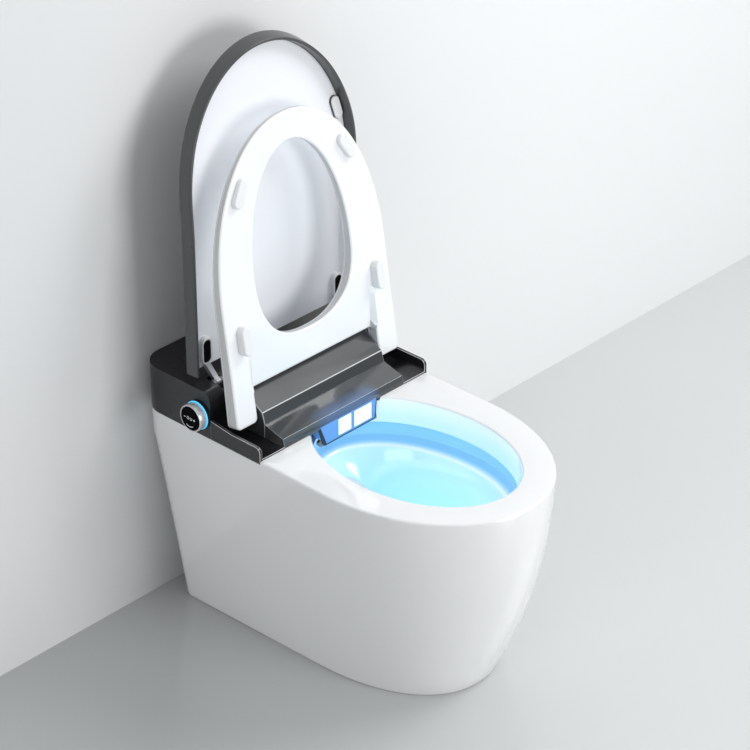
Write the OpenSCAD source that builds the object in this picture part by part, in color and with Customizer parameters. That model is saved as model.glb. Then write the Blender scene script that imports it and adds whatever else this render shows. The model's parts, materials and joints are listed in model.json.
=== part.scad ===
// Smart toilet with a wash wand, a warm air outlet and a side control knob.
// All lengths are in millimetres.
// The origin is on the floor, midway between the front tip and the back.
// +Z is up, -Y points to the front of the bowl and the knob is on the -X side.

/* [Body] */
// Overall length from front tip to back
body_l = 693; // [680:1:705]
// Overall width of the ceramic
body_w = 400; // [390:1:410]
// Height of the rim above the floor
rim_h = 392; // [385:1:410]
// Thickness of the ceramic skirt and floors
wall = 14; // [12:1:16]
// Thickness of the bowl wall
bowl_wall = 12; // [10:1:14]
// How far the front tip draws in at the floor
foot_front = 101; // [90:1:110]
// How far each side draws in at the floor
foot_side = 43; // [36:1:48]
// How far the back draws in at the floor
foot_back = 46; // [38:1:52]
// Radius of the rear corners seen from above
corner_r = 45; // [38:1:52]

/* [Bowl] */
// Width of the bowl opening
bowl_w = 274; // [264:1:280]
// Width of the rim at the front tip
rim_front = 54; // [50:1:60]
// How far the opening runs back under the cover
bowl_back = 42; // [38:1:44]
// Height of the upper bowl wall above the flush channel
upper_wall = 46; // [42:1:50]
// Height of the flush channel
channel_h = 28; // [24:1:30]
// Depth of the sump below the rim
sump_depth = 312; // [300:1:316]
// Bore of the trapway
trap_bore = 56; // [52:1:58]
// Wall of the trapway
trap_wall = 9; // [8:1:10]
// Distance from the finished wall to the outlet
rough_in = 305; // [300:1:310]
// Gap between the back and the finished wall
wall_gap = 3; // [2:1:6]
// Spacing of the floor bolts
bolt_span = 190; // [180:1:200]

/* [Cover] */
// Length of the cover from its front edge to the back
cover_l = 285; // [280:1:290]
// Height of the rear block above the rim
block_h = 80; // [79:1:84]
// Distance from the front edge to the rear block
block_y = 115; // [112:1:117]
// Wall of the cover mouldings
cover_wall = 3; // [2.5:0.5:3]
// Height of the side cheeks above the rim
cheek_h = 24; // [20:1:28]
// Thickness of the side cheeks
cheek_t = 5.5; // [5:0.5:6]
// Gap between the hinge housing and each seat leg
housing_gap = 2.8; // [2.6:0.1:3]
// Floor of the side wells above the rim
well_z = 3; // [2.5:0.5:4]
// Drop of the ceramic under the cover
deck_drop = 6; // [5:1:7]

/* [Seat] */
// Width of the seat ring at its legs
seat_w = 385; // [380:1:386]
// Length of the seat from its hinge to the tip
seat_l = 482; // [475:1:484]
// Width of the hole in the seat
hole_w = 220; // [205:1:230]
// Width of the seat in front of the hole
seat_front = 50; // [45:1:55]
// Distance from the hinge to the hole
hole_start = 104; // [98:1:110]
// Width of each seat leg
leg_w = 47; // [44:1:47]
// Distance from the seat hinge to the rear edge between the legs
bridge_s = 45; // [42:1:50]
// Hinge axis of the seat behind the cover front edge
seat_hinge_y = 75; // [74:1:77]
// Hinge axis of the seat above the rim
seat_hinge_z = 36; // [35:1:38]
// Angle that the seat turns through to close
seat_close = 100.2; // [99:0.1:100.6]
// Radius of the seat hinge shaft
seat_shaft_r = 4; // [3.5:0.5:4]

/* [Lid] */
// Half width of the lid
lid_half_w = 190; // [185:1:190]
// Height of the lid from its lower edge to the tip
lid_l = 531; // [520:1:533]
// Depth of the lid rim
lid_rim_d = 26; // [22:1:27]
// Thickness of the lid rim and back
lid_wall = 5.5; // [4.5:0.5:6]
// How far the raised lid bends back near its tip in degrees
lid_bend = 7.5; // [7:0.1:8]
// Hinge axis of the lid behind the cover front edge
lid_hinge_y = 143; // [142:1:145]
// Hinge axis of the lid above the rim
lid_hinge_z = 74; // [73:1:75]
// Angle that the lid turns through to close
lid_close = 99; // [98:0.1:99.2]
// Radius of the lid hinge pins
lid_pin_r = 3.5; // [3:0.5:4]

/* [Knob] */
// Diameter of the turning ring
knob_d = 48; // [44:1:50]
// Distance that the knob stands out of the cover
knob_out = 22; // [20:1:24]
// Distance from the cover front edge to the knob
knob_y = 141; // [138:1:144]
// Height of the knob above the rim
knob_z = 33; // [30:1:36]
// Travel of the knob when it is pressed
knob_travel = 1.5; // [1:0.1:1.6]

/* [Wash wand] */
// Slope of the wand in degrees
wand_tilt = 24; // [23:0.5:24.5]
// Radius of the wand tube
wand_r = 11; // [10:0.5:11]
// Length of the wand
wand_l = 185; // [183:1:187]
// Side of the square wand window
window_w = 31; // [30:0.5:32]
// Travel of the wand
wand_travel = 100; // [80:1:100]

/* [Warm air outlet] */
// Width of the air window
air_w = 42; // [38:1:43]
// Height of the air window
air_h = 31; // [29:1:31]
// Radius of the blower wheel
blower_r = 34; // [30:1:35]

/* [Fits] */
// Radial clearance of a turning fit
run_gap = 0.05; // [0.03:0.01:0.08]
// Clearance between separate mouldings
gap = 0.3; // [0.2:0.05:0.4]

/* [Hidden] */
$fn = 48;

// Colours
ceramic_white = "white";
charcoal = "#3c3d3f";
near_black = "#1e1f22";
seat_white = "#f4f6f8";
rim_grey = "#4d4f4f";
steel = "silver";
lit_blue = "#6a9edc";
cyan = "#3fc8ef";
copper = "#b87333";
board_green = "#1f5b3a";

// Places in the part frame
tip_y = -body_l / 2;
back_y = body_l / 2;
deck_y = back_y - cover_l;
half_w = body_w / 2;
leg_in = seat_w / 2 - leg_w;
outlet_y = back_y + wall_gap - rough_in;
trap_r = trap_bore / 2;
trap_outer_r = trap_r + trap_wall;
foot_gap = 3;

// Draws its children behind the cover front edge, at the rim plane.
module on_deck() { translate([0, deck_y, rim_h]) children(); }
// Extrudes a side view, drawn as [y, z], across x0 to x1.
module side_view(x0, x1) { translate([x0, 0, 0]) rotate([90, 0, 90]) linear_extrude(x1 - x0) children(); }
// Draws its children on both sides.
module both_sides() { children(); mirror([1, 0, 0]) children(); }
// A box from one corner to the other.
module block(a, b) { translate(a) cube([b[0] - a[0], b[1] - a[1], b[2] - a[2]]); }
// A cylinder along X from x0 to x1.
module rod_x(x0, x1, y, z, r) { translate([x0, y, z]) rotate([0, 90, 0]) cylinder(r = r, h = x1 - x0); }
// A cylinder along Y from y0 to y1.
module rod_y(y0, y1, x, z, r) { translate([x, y0, z]) rotate([-90, 0, 0]) cylinder(r = r, h = y1 - y0); }

// One half of a superellipse quarter: t runs from 0 at the side to 90 at the tip.
function quarter(a, b, n, t) = [a * pow(cos(t), 2 / n), b * pow(sin(t), 2 / n)];

// A closed loft through rings that all have the same number of points.
module loft(rings) {
    n = len(rings[0]);
    m = len(rings);
    faces = concat(
        [[for (i = [0 : n - 1]) i]],
        [[for (i = [n - 1 : -1 : 0]) (m - 1) * n + i]],
        [for (k = [0 : m - 2], i = [0 : n - 1]) [k * n + i, (k + 1) * n + i, k * n + (i + 1) % n]],
        [for (k = [0 : m - 2], i = [0 : n - 1])
            [(k + 1) * n + i, (k + 1) * n + (i + 1) % n, k * n + (i + 1) % n]]);
    polyhedron(points = [for (ring = rings, p = ring) p], faces = faces, convexity = 10);
}

// Outer shape of the ceramic, level by level.
// The front tip and the sides draw in towards the floor, and the back tapers under its knee.
tip_power = 2.05;
side_power = 1.1;
back_power = 0.85;
back_knee = 335;
rear_taper = 7;
foot_corner_r = 12;
ellipse_top_y = -78.5;
ellipse_foot_y = 1.5;
tip_n_top = 2.04;
tip_n_foot = 2.2;
rim_round = 4.5;
function down(z) = 1 - min(max(z, 0), rim_h) / rim_h;
function mix(a, b, t) = a + (b - a) * t;
function outer_tip(z) = tip_y + foot_front * pow(down(z), tip_power);
function outer_half(z) = half_w - foot_side * pow(down(z), side_power);
function outer_back(z) = back_y - foot_back * pow(max(0, 1 - z / back_knee), back_power);
function outer_corner(z) = mix(corner_r, foot_corner_r, down(z));
corner_steps = 5;
tip_steps = 16;
function half_outline(z, inset) = let (
        w = outer_half(z) - inset,
        b = outer_back(z) - inset,
        r = max(outer_corner(z) - inset, 2),
        ws = w - rear_taper * down(z),
        ys = mix(ellipse_top_y, ellipse_foot_y, down(z)),
        n = mix(tip_n_top, tip_n_foot, down(z)),
        tip = outer_tip(z) + inset)
    concat(
        [for (i = [0 : corner_steps]) let (a = 90 - 90 * i / corner_steps)
            [w - r + r * cos(a), b - r + r * sin(a)]],
        [for (i = [0 : tip_steps]) let (q = quarter(ws, ys - tip, n, 90 * i / tip_steps))
            [q[0], ys - q[1]]]);
// The ring is the right half from back to tip and the left half from tip to back.
function body_ring(z, inset) = let (h = half_outline(z, inset), k = len(h))
    concat([for (i = [k - 1 : -1 : 0]) [h[i][0], h[i][1], z]],
        [for (i = [0 : k - 2]) [-h[i][0], h[i][1], z]]);

body_shares = [0.07, 0.15, 0.25, 0.36, 0.47, 0.59, 0.69, 0.78, 0.855, 0.925];
body_levels = concat([[0, foot_gap], [2, 0.5], [6, 0]], [for (k = body_shares) [k * rim_h, 0]],
    [[rim_h - rim_round, 0], [rim_h - 0.3 * rim_round, 0.3 * rim_round], [rim_h, rim_round]]);
module body_solid() { loft([for (v = body_levels) body_ring(v[0], v[1])]); }
slab_t = 24;
void_top = rim_h - slab_t;
void_shares = [0.13, 0.28, 0.46, 0.64, 0.79];
module skirt_void(tops) {
    levels = concat([-1], [for (k = void_shares) k * rim_h], tops);
    loft([for (z = levels) body_ring(z, wall)]);
}

// Bowl, drawn behind the cover front edge with depths below the rim.
// Each level is [depth, half width, front end, back end].
bowl_half = bowl_w / 2;
bowl_tip = -(body_l - cover_l) + rim_front;
bowl_mid = -165;
channel_in = 9;
ledge = 12;
ledge_z = upper_wall + 6 + channel_h;
sump_half = 30;
sump_front = -148;
sump_back = -88;
function pan(t, k) = [
    mix(ledge_z + 8, sump_depth, t),
    mix(bowl_half - ledge - 4, sump_half, pow(t, k)),
    mix(bowl_tip + ledge + 8, sump_front, pow(t, k)),
    mix(bowl_back - ledge - 4, sump_back, pow(t, k))];
bowl_levels = concat([
    [-1, bowl_half + 4, bowl_tip - 4, bowl_back + 4],
    [0, bowl_half + 3.5, bowl_tip - 3.5, bowl_back + 3.5],
    [1.5, bowl_half + 1.2, bowl_tip - 1.2, bowl_back + 1.2],
    [5, bowl_half, bowl_tip, bowl_back],
    [upper_wall - 5, bowl_half - 5, bowl_tip + 6, bowl_back - 4],
    [upper_wall, bowl_half - 4, bowl_tip + 5, bowl_back - 3],
    [upper_wall + 4, bowl_half + channel_in - 4, bowl_tip - channel_in + 4, bowl_back + channel_in - 4],
    [upper_wall + 9, bowl_half + channel_in, bowl_tip - channel_in, bowl_back + channel_in],
    [ledge_z - 8, bowl_half + channel_in, bowl_tip - channel_in, bowl_back + channel_in],
    [ledge_z - 1, bowl_half + channel_in - 7, bowl_tip - channel_in + 8, bowl_back + channel_in - 7],
    [ledge_z + 1, bowl_half - ledge + 3, bowl_tip + ledge - 1, bowl_back - ledge + 3]],
    [for (i = [0 : 8]) pan(i / 8, 0.86)]);
bowl_steps = 10;
function bowl_ring(v, grow) = let (a = v[1] + grow, f = bowl_mid - v[2] + grow, b = v[3] + grow - bowl_mid)
    concat([for (i = [0 : bowl_steps - 1]) let (t = 90 * i / bowl_steps)
            [a * cos(t), bowl_mid + b * sin(t), -v[0]]],
        [for (i = [0 : bowl_steps - 1]) let (t = 90 + 90 * i / bowl_steps)
            [a * cos(t), bowl_mid + b * sin(t), -v[0]]],
        [for (i = [0 : bowl_steps - 1]) let (t = 180 + 90 * i / bowl_steps)
            [a * cos(t), bowl_mid + f * sin(t), -v[0]]],
        [for (i = [0 : bowl_steps - 1]) let (t = 270 + 90 * i / bowl_steps)
            [a * cos(t), bowl_mid + f * sin(t), -v[0]]]);
function last_first(v) = [for (i = [len(v) - 1 : -1 : 0]) v[i]];
module bowl_hollow() {
    on_deck() loft(last_first([for (v = bowl_levels) bowl_ring(v, 0)]));
}
// The bowl with its wall, filled, from the underside of the rim slab down.
module bowl_shell() {
    levels = concat([[slab_t, bowl_half + channel_in, bowl_tip - channel_in, bowl_back + channel_in],
        [ledge_z, bowl_half + channel_in, bowl_tip - channel_in, bowl_back + channel_in]],
        [for (i = [1 : 2 : 8]) pan(i / 8, 0.86)],
        [[sump_depth + bowl_wall, sump_half, sump_front, sump_back]]);
    on_deck() loft(last_first([for (v = levels) bowl_ring(v, bowl_wall)]));
}

// Trapway: a straight rise, a crest, a straight fall and a bend to the outlet, in the middle plane.
rise_a = 46;
crest_behind = 45.5;
crest_y = outlet_y + crest_behind;
crest_drop = 216;
crest_r = 60;
crest_z = rim_h - crest_drop;
fall_a = 130;
drop_r = 50;
rise_l = 165;
trap_sides = 20;
rise_end = [crest_y - crest_r * sin(rise_a), crest_z + crest_r * cos(rise_a)];
rise_start = rise_end - rise_l * [cos(rise_a), sin(rise_a)];
fall_start = [crest_y + crest_r * sin(fall_a), crest_z + crest_r * cos(fall_a)];
fall_dir = [cos(fall_a), -sin(fall_a)];
fall_l = (fall_start[0] - drop_r * (1 - sin(fall_a)) - outlet_y) / cos(180 - fall_a);
fall_end = fall_start + fall_l * fall_dir;
drop_end = [outlet_y, fall_end[1] + drop_r * cos(fall_a)];
// Stations along the middle line: [y, z, heading], where 0 heads back and 90 heads up.
trap_line = concat(
    [[rise_start[0], rise_start[1], rise_a]],
    [for (i = [0 : 11]) let (h = rise_a - (rise_a + fall_a) * i / 11)
        [crest_y - crest_r * sin(h), crest_z + crest_r * cos(h), h]],
    [for (i = [0 : 4]) let (h = -fall_a + (fall_a - 90) * i / 4)
        [outlet_y + drop_r * (1 + sin(h)), drop_end[1] - drop_r * cos(h), h]],
    [[outlet_y, -1, -90]]);
function trap_rings(r) = [for (p = trap_line) [for (i = [0 : trap_sides - 1]) let (a = 360 * i / trap_sides)
    [r * cos(a), p[0] + r * sin(a) * sin(p[2]), p[1] - r * sin(a) * cos(p[2])]]];
module trap_run(r) { loft(trap_rings(r)); }

// Compartment for the works behind the bowl, and the deck around it.
comp_half = 165;
comp_front = 95;
comp_back = 262;
comp_depth = 96;
deck_t = 24;
deck_lap = 10;
passage_x = -5;
passage_z = -62;
passage_r = 15;
passage_wall = 7;
notch_left = -64;
notch_right = 77;
notch_depth = 38;
notch_front = -45;
notch_back = 60;
inlet_x = -122;
inlet_y = 142;
inlet_hole_r = 18;
gland_x = 130;
gland_y = 212;
gland_hole_r = 12;
web_h = 14;
web_half_l = 62;
floor_hole_r = 6;
seal_r = 54;
seal_h = 0.78 * drop_end[1];
access_half = 80;
access_h = 230;
access_depth = 120;
cover_bolt_x = 165;
cover_bolt_y = 60;
cover_bolt_r = 4;
bolt_slack = 1;

// The casting is drawn as seven joined nodes, so that each hollow stays open in collision.
// A faceted mass is scaled to its own size, which makes it one solid.
module ceramic_rim() {
    color(ceramic_white) difference() {
        resize([0, 0, slab_t]) difference() {
            intersection() {
                body_solid();
                block([-half_w - 1, -back_y - 1, void_top], [half_w + 1, back_y + 1, rim_h]);
            }
            bowl_hollow();
        }
        on_deck() block([-half_w - 1, 0, -deck_drop], [half_w + 1, cover_l + 1, 1]);
        on_deck() block([-comp_half, comp_front, -comp_depth], [comp_half, comp_back, 1]);
        nozzle_notch();
        bolt_holes();
    }
}
// The right half of the skirt, with its half of the foot web.
module ceramic_right() {
    color(ceramic_white) difference() {
        resize([0, 0, void_top]) difference() {
            intersection() {
                union() {
                    difference() { body_solid(); skirt_void([void_top, void_top + 1]); }
                    intersection() {
                        body_solid();
                        block([0, outlet_y - web_half_l, 0], [half_w, outlet_y + web_half_l, web_h]);
                    }
                }
                block([0, -back_y - 1, 0], [half_w + 1, back_y + 1, void_top]);
            }
            trap_run(trap_outer_r);
        }
        translate([bolt_span / 2, outlet_y, -1]) cylinder(r = floor_hole_r, h = web_h + 2);
        translate([0, outlet_y, -1]) cylinder(r = seal_r + gap, h = seal_h + 1);
        block([-1, back_y - access_depth, -1], [access_half, back_y + 1, access_h]);
    }
}
module ceramic_left() { mirror([1, 0, 0]) ceramic_right(); }
module nozzle_notch() {
    on_deck() block([notch_left, notch_front, -notch_depth], [notch_right, notch_back, 1]);
}
module bolt_holes() {
    on_deck() both_sides() translate([cover_bolt_x, cover_bolt_y, -deck_t - deck_drop - 1])
        cylinder(r = cover_bolt_r + bolt_slack, h = deck_t + 2);
}
module passage_bore() {
    on_deck() rod_y(bowl_back - 30, comp_front + 1, passage_x, passage_z, passage_r);
}
// The bowl is split across at a depth below the rim.
bowl_split = 150;
module bowl_between(top, foot) {
    intersection() {
        bowl_shell();
        on_deck() block([-half_w, -rim_h, -foot], [half_w, rim_h, -top]);
    }
}
module ceramic_bowl() {
    color(ceramic_white) difference() {
        resize([0, 0, bowl_split - slab_t]) difference() {
            bowl_between(slab_t, bowl_split);
            bowl_hollow();
        }
        nozzle_notch();
        passage_bore();
    }
}
module ceramic_sump() {
    foot = sump_depth + bowl_wall;
    color(ceramic_white) resize([0, 0, foot - bowl_split]) difference() {
        bowl_between(bowl_split, foot);
        bowl_hollow();
        trap_run(trap_r);
    }
}
module ceramic_trap() {
    color(ceramic_white) difference() {
        resize([2 * trap_outer_r, 0, 0]) difference() {
            intersection() { body_solid(); trap_run(trap_outer_r); }
            bowl_shell();
            trap_run(trap_r);
        }
        translate([0, outlet_y, -1]) cylinder(r = trap_r, h = drop_end[1]);
    }
}
module ceramic_box() {
    box_h = comp_depth + wall - slab_t;
    color(ceramic_white) difference() {
        resize([0, 0, box_h]) difference() {
            intersection() {
                skirt_void([void_top]);
                on_deck() union() {
                    block([-comp_half - wall, comp_front - wall, -comp_depth - wall],
                        [comp_half + wall, comp_back + wall, 0]);
                    block([-half_w, -deck_lap, -deck_t - deck_drop], [half_w, comp_front, 0]);
                    rod_y(bowl_back - 20, comp_front, passage_x, passage_z, passage_r + passage_wall);
                }
            }
            bowl_shell();
        }
        on_deck() block([-comp_half, comp_front, -comp_depth], [comp_half, comp_back, 1]);
        nozzle_notch();
        bolt_holes();
        passage_bore();
        on_deck() translate([inlet_x, inlet_y, -comp_depth - wall - 1])
            cylinder(r = inlet_hole_r, h = wall + 2);
        on_deck() translate([gland_x, gland_y, -comp_depth - wall - 1])
            cylinder(r = gland_hole_r, h = wall + 2);
    }
}
module outlet_seal() {
    color(near_black) translate([0, outlet_y, 0]) difference() {
        cylinder(r = seal_r, h = seal_h);
        translate([0, 0, -1]) cylinder(r = trap_outer_r + gap, h = seal_h + 2);
    }
}

// Outline of the cover seen from above, drawn in by inset, from z0 to z1.
module plan_prism(inset, z0, z1) {
    w = half_w - inset;
    r = corner_r - inset;
    b = cover_l - inset;
    block([-w, inset, z0], [w, b - r, z1]);
    block([-w + r, b - r, z0], [w - r, b, z1]);
    for (sx = [-1, 1]) translate([sx * (w - r), b - r, z0]) cylinder(r = r, h = z1 - z0);
}

// Chassis plate and the tray that hangs from it in the compartment, drawn as two joined nodes.
plate_t = 5;
gasket_inset = 1;
tray_half = 160;
tray_front = 100;
tray_back = 258;
tray_depth = 92;
tray_wall = 3;
tray_floor = -tray_depth + tray_wall;
plate_notch_left = -66;
plate_notch_right = 79;
plate_notch_back = 75;
mouth_half = 86;
mouth_back = 46;
shelf_x = 140;
shelf_front = 124;
shelf_back = 162;
screw_places = [[182, 185], [120, 272]];
screw_r = 2;
screw_head_r = 3.5;
screw_head_h = 2.5;
screw_l = 19;
pipe_outer_r = 14;
spigot_r = 10.4;
gland_stem_r = 9;
sink_r = 8;
sink_h = 4;
// Draws its children at the four cover screws, from the underside of the plate.
module at_screws() {
    both_sides() for (p = screw_places) translate([p[0], p[1], -plate_t]) children();
}
module plate_notch(z0, z1) {
    block([plate_notch_left, -1, z0], [plate_notch_right, plate_notch_back, z1]);
}
module deck_gasket() {
    color(near_black) on_deck() difference() {
        plan_prism(gasket_inset, -deck_drop, -plate_t);
        plate_notch(-deck_drop - 1, 0);
        block([-mouth_half, -1, -deck_drop - 1], [mouth_half, mouth_back, 0]);
        block([-comp_half, comp_front, -deck_drop - 1], [comp_half, comp_back, 0]);
        both_sides() translate([cover_bolt_x, cover_bolt_y, -deck_drop - 1])
            cylinder(r = cover_bolt_r + bolt_slack, h = 3);
    }
}
module chassis_plate() {
    color(charcoal) on_deck() difference() {
        plan_prism(cover_wall + gap, -plate_t, 0);
        block([-tray_half, tray_front, -plate_t - 1], [tray_half, tray_back, 1]);
        plate_notch(-plate_t - 1, 1);
        both_sides() translate([cover_bolt_x, cover_bolt_y, -plate_t - 1])
            cylinder(r = cover_bolt_r + gap, h = plate_t + 2);
        both_sides() translate([cover_bolt_x, cover_bolt_y, -sink_h])
            cylinder(r1 = cover_bolt_r, r2 = sink_r, h = sink_h);
        at_screws() translate([0, 0, -1]) cylinder(r = screw_r + gap, h = plate_t + 2);
        at_screws() translate([0, 0, -1]) cylinder(r = screw_head_r + gap, h = screw_head_h + 1);
    }
}
module works_tray() {
    color(charcoal) on_deck() {
        difference() {
            block([-tray_half, tray_front, -tray_depth], [tray_half, tray_back, 0]);
            block([-tray_half + tray_wall, tray_front + tray_wall, tray_floor],
                [tray_half - tray_wall, tray_back - tray_wall, 1]);
            rod_y(tray_front - 1, tray_front + tray_wall + 1, passage_x, passage_z, pipe_outer_r + gap);
            translate([inlet_x, inlet_y, -tray_depth - 1])
                cylinder(r = spigot_stem_r + gap, h = tray_wall + 2);
            translate([gland_x, gland_y, -tray_depth - 1])
                cylinder(r = gland_stem_r + gap, h = tray_wall + 2);
        }
        both_sides() block([shelf_x, shelf_front, -plate_t], [tray_half - 1, shelf_back, 0]);
    }
}
bolt_nut_r = 7.5;
bolt_nut_h = 7;
module cover_bolts() {
    color(steel) on_deck() both_sides() translate([cover_bolt_x, cover_bolt_y, 0]) {
        translate([0, 0, -sink_h]) cylinder(r1 = cover_bolt_r, r2 = sink_r, h = sink_h);
        translate([0, 0, -deck_t - deck_drop - bolt_nut_h]) cylinder(r = cover_bolt_r,
            h = deck_t + deck_drop + bolt_nut_h - sink_h);
        translate([0, 0, -deck_t - deck_drop - bolt_nut_h]) cylinder(r = bolt_nut_r, h = bolt_nut_h, $fn = 6);
    }
}

// Rear cover: the block, the floors of the side wells and the cheeks.
crown_r = 17;
cheek_r = 10;
cheek_rise_y = 66;
cheek_rise = 6;
house_half = leg_in - housing_gap;
slot_z = 62;
slot_front = block_y;
slot_back = 160;
lid_arm_in = 35;
lid_arm_x = lid_half_w - lid_arm_in;
lid_arm_t = 10;
ear_t = 6;
ear_half = lid_arm_t / 2 + gap + ear_t;
boss_r = 5;
boss_h = 20;
rib_t = 4;
knob_hole_r = 11;
module cover_mass(inset, foot) {
    x = half_w - inset;
    crown_y = block_y + crown_r;
    crown_z = block_h - crown_r;
    block([-x, crown_y, foot], [x, cover_l - inset, block_h - inset]);
    block([-x, block_y + inset, foot], [x, crown_y, crown_z]);
    rod_x(-x, x, crown_y, crown_z, crown_r - inset);
}
module cheek() {
    x0 = half_w - cheek_t;
    side_view(x0, half_w) polygon([[cheek_r, -plate_t], [block_y, -plate_t],
        [block_y, cheek_h + cheek_rise], [cheek_rise_y, cheek_h], [cheek_r, cheek_h]]);
    block([x0, 0, -plate_t], [half_w, cheek_r, cheek_h - cheek_r]);
    rod_x(x0, half_w, cheek_r, cheek_h - cheek_r, cheek_r);
}
module rear_cover() {
    color(near_black) on_deck() {
        difference() {
            intersection() {
                plan_prism(0, -plate_t, block_h);
                cover_mass(0, -plate_t);
            }
            intersection() {
                plan_prism(cover_wall, -plate_t - 1, block_h);
                cover_mass(cover_wall, -plate_t - 1);
            }
            block([-house_half - gap, -1, -plate_t - 1],
                [house_half + gap, block_y + crown_r, block_h + 1]);
            block([-half_w + cover_wall, block_y - 1, -plate_t - 1],
                [half_w - cover_wall, block_y + cover_wall + 1, 0]);
            both_sides() block([lid_arm_x - ear_half - gap, slot_front - 1, slot_z],
                [lid_arm_x + ear_half + gap, slot_back, block_h + 1]);
            translate([-half_w, knob_y, knob_z]) rotate([0, 90, 0])
                translate([0, 0, -1]) cylinder(r = knob_hole_r, h = cover_wall + 2);
        }
        block([-house_half - gap, block_y, block_h - cover_wall],
            [house_half + gap, block_y + crown_r, block_h]);
        difference() {
            both_sides() {
                for (p = screw_places) translate([p[0], p[1], 0]) cylinder(r = boss_r, h = boss_h);
                block([screw_places[0][0] + 2, screw_places[0][1] - rib_t / 2, 0],
                    [half_w - cover_wall + 1, screw_places[0][1] + rib_t / 2, boss_h]);
                block([screw_places[1][0] - rib_t / 2, screw_places[1][1] + 2, 0],
                    [screw_places[1][0] + rib_t / 2, cover_l - cover_wall + 1, boss_h]);
            }
            at_screws() cylinder(r = screw_r, h = screw_l + 1);
        }
    }
}
// The floors of the side wells and the cheeks, in front of the rear block.
module side_wells() {
    color(near_black) on_deck() difference() {
        both_sides() {
            block([house_half + gap, 0, -plate_t], [half_w, block_y, well_z]);
            cheek();
        }
        block([-half_w + cover_wall, cover_wall, -plate_t - 1], [half_w - cover_wall, block_y + 1, 0]);
    }
}
module cover_screws() {
    color(steel) on_deck() at_screws() {
        cylinder(r = screw_head_r, h = screw_head_h);
        cylinder(r = screw_r, h = screw_l);
    }
}

// Hinge housing between the wells and the glossy panel in front of it.
shell_t = 2.5;
panel_back = block_y - 68.9;
panel_top = 27.1;
panel_lip_y = 4.3;
panel_lip_z = 15.7;
bush_r = 7;
// Corners of the sloping top as [distance in front of the rear block, depth below its top].
house_steps = [[65.2, 39], [63.5, 33.7], [25.3, 7.5], [15, 0]];
house_steps_in = [[62.8, 39.7], [61.5, 35.4], [24, 9.8], [14.2, shell_t]];
function below_crown(steps) = [for (p = steps) [block_y - p[0], block_h - p[1]]];
module hinge_cover() {
    outer = concat([[panel_back, 0], [panel_back, panel_top]], below_crown(house_steps),
        [[block_y - gap, block_h], [block_y - gap, 0]]);
    inner = concat([[panel_back + shell_t, -1], [panel_back + shell_t, panel_top - 0.3]],
        below_crown(house_steps_in), [[block_y + 1, block_h - shell_t], [block_y + 1, -1]]);
    color(charcoal) on_deck() difference() {
        side_view(-house_half, house_half) polygon(outer);
        side_view(-house_half + shell_t, house_half - shell_t) polygon(inner);
        block([plate_notch_left, panel_back - 1, -1],
            [plate_notch_right, panel_back + shell_t + 1, panel_top - 1]);
        rod_x(-house_half - 1, house_half + 1, seat_hinge_y, seat_hinge_z, bush_r);
    }
}
module front_panel() {
    outer = [[panel_back, 0], [panel_back, panel_top], [panel_lip_y, panel_lip_z], [2.6, 10], [0, 3], [0, 0]];
    inner = [[panel_back + 1, -1], [panel_back + 1, panel_top - 2.3], [panel_lip_y + 2, panel_lip_z - 2.4],
        [5, 9.4], [shell_t, 3], [shell_t, -1]];
    color(charcoal) on_deck() difference() {
        side_view(-house_half, house_half) polygon(outer);
        side_view(-house_half + shell_t, house_half - shell_t) polygon(inner);
        block([box_left - gap, -1, -1], [box_right + gap, shell_t + 1, box_top + gap]);
    }
}

// Nozzle housing: a tapered box with two windows in its lit front.
box_left = -60;
box_right = 73;
box_left_foot = -46;
box_right_foot = 69;
box_top = 3;
box_foot = -33;
box_front = -1;
box_back = 28;
box_wall = 2.5;
cap_x = -2.25;
cap_z = -14.5;
cap_t = 2.5;
air_x = 41;
air_top = 1;
tab_l = 14;
tab_t = 2;
flap_pin_y = 1.5;
flap_pin_z = -0.6;
flap_pin_r = 1;
flap_ear = 3;
gasket_w = 3.5;
// Front view of the box, drawn as [x, z] and grown by g, from y0 to y1.
module box_view(g, y0, y1) {
    top = box_top + max(g, 0);
    translate([0, y1, 0]) rotate([90, 0, 0]) linear_extrude(y1 - y0) polygon([
        [box_left_foot - g, box_foot - g], [box_right_foot + g, box_foot - g], [box_right + g, top],
        [box_left - g, top]]);
}
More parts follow.
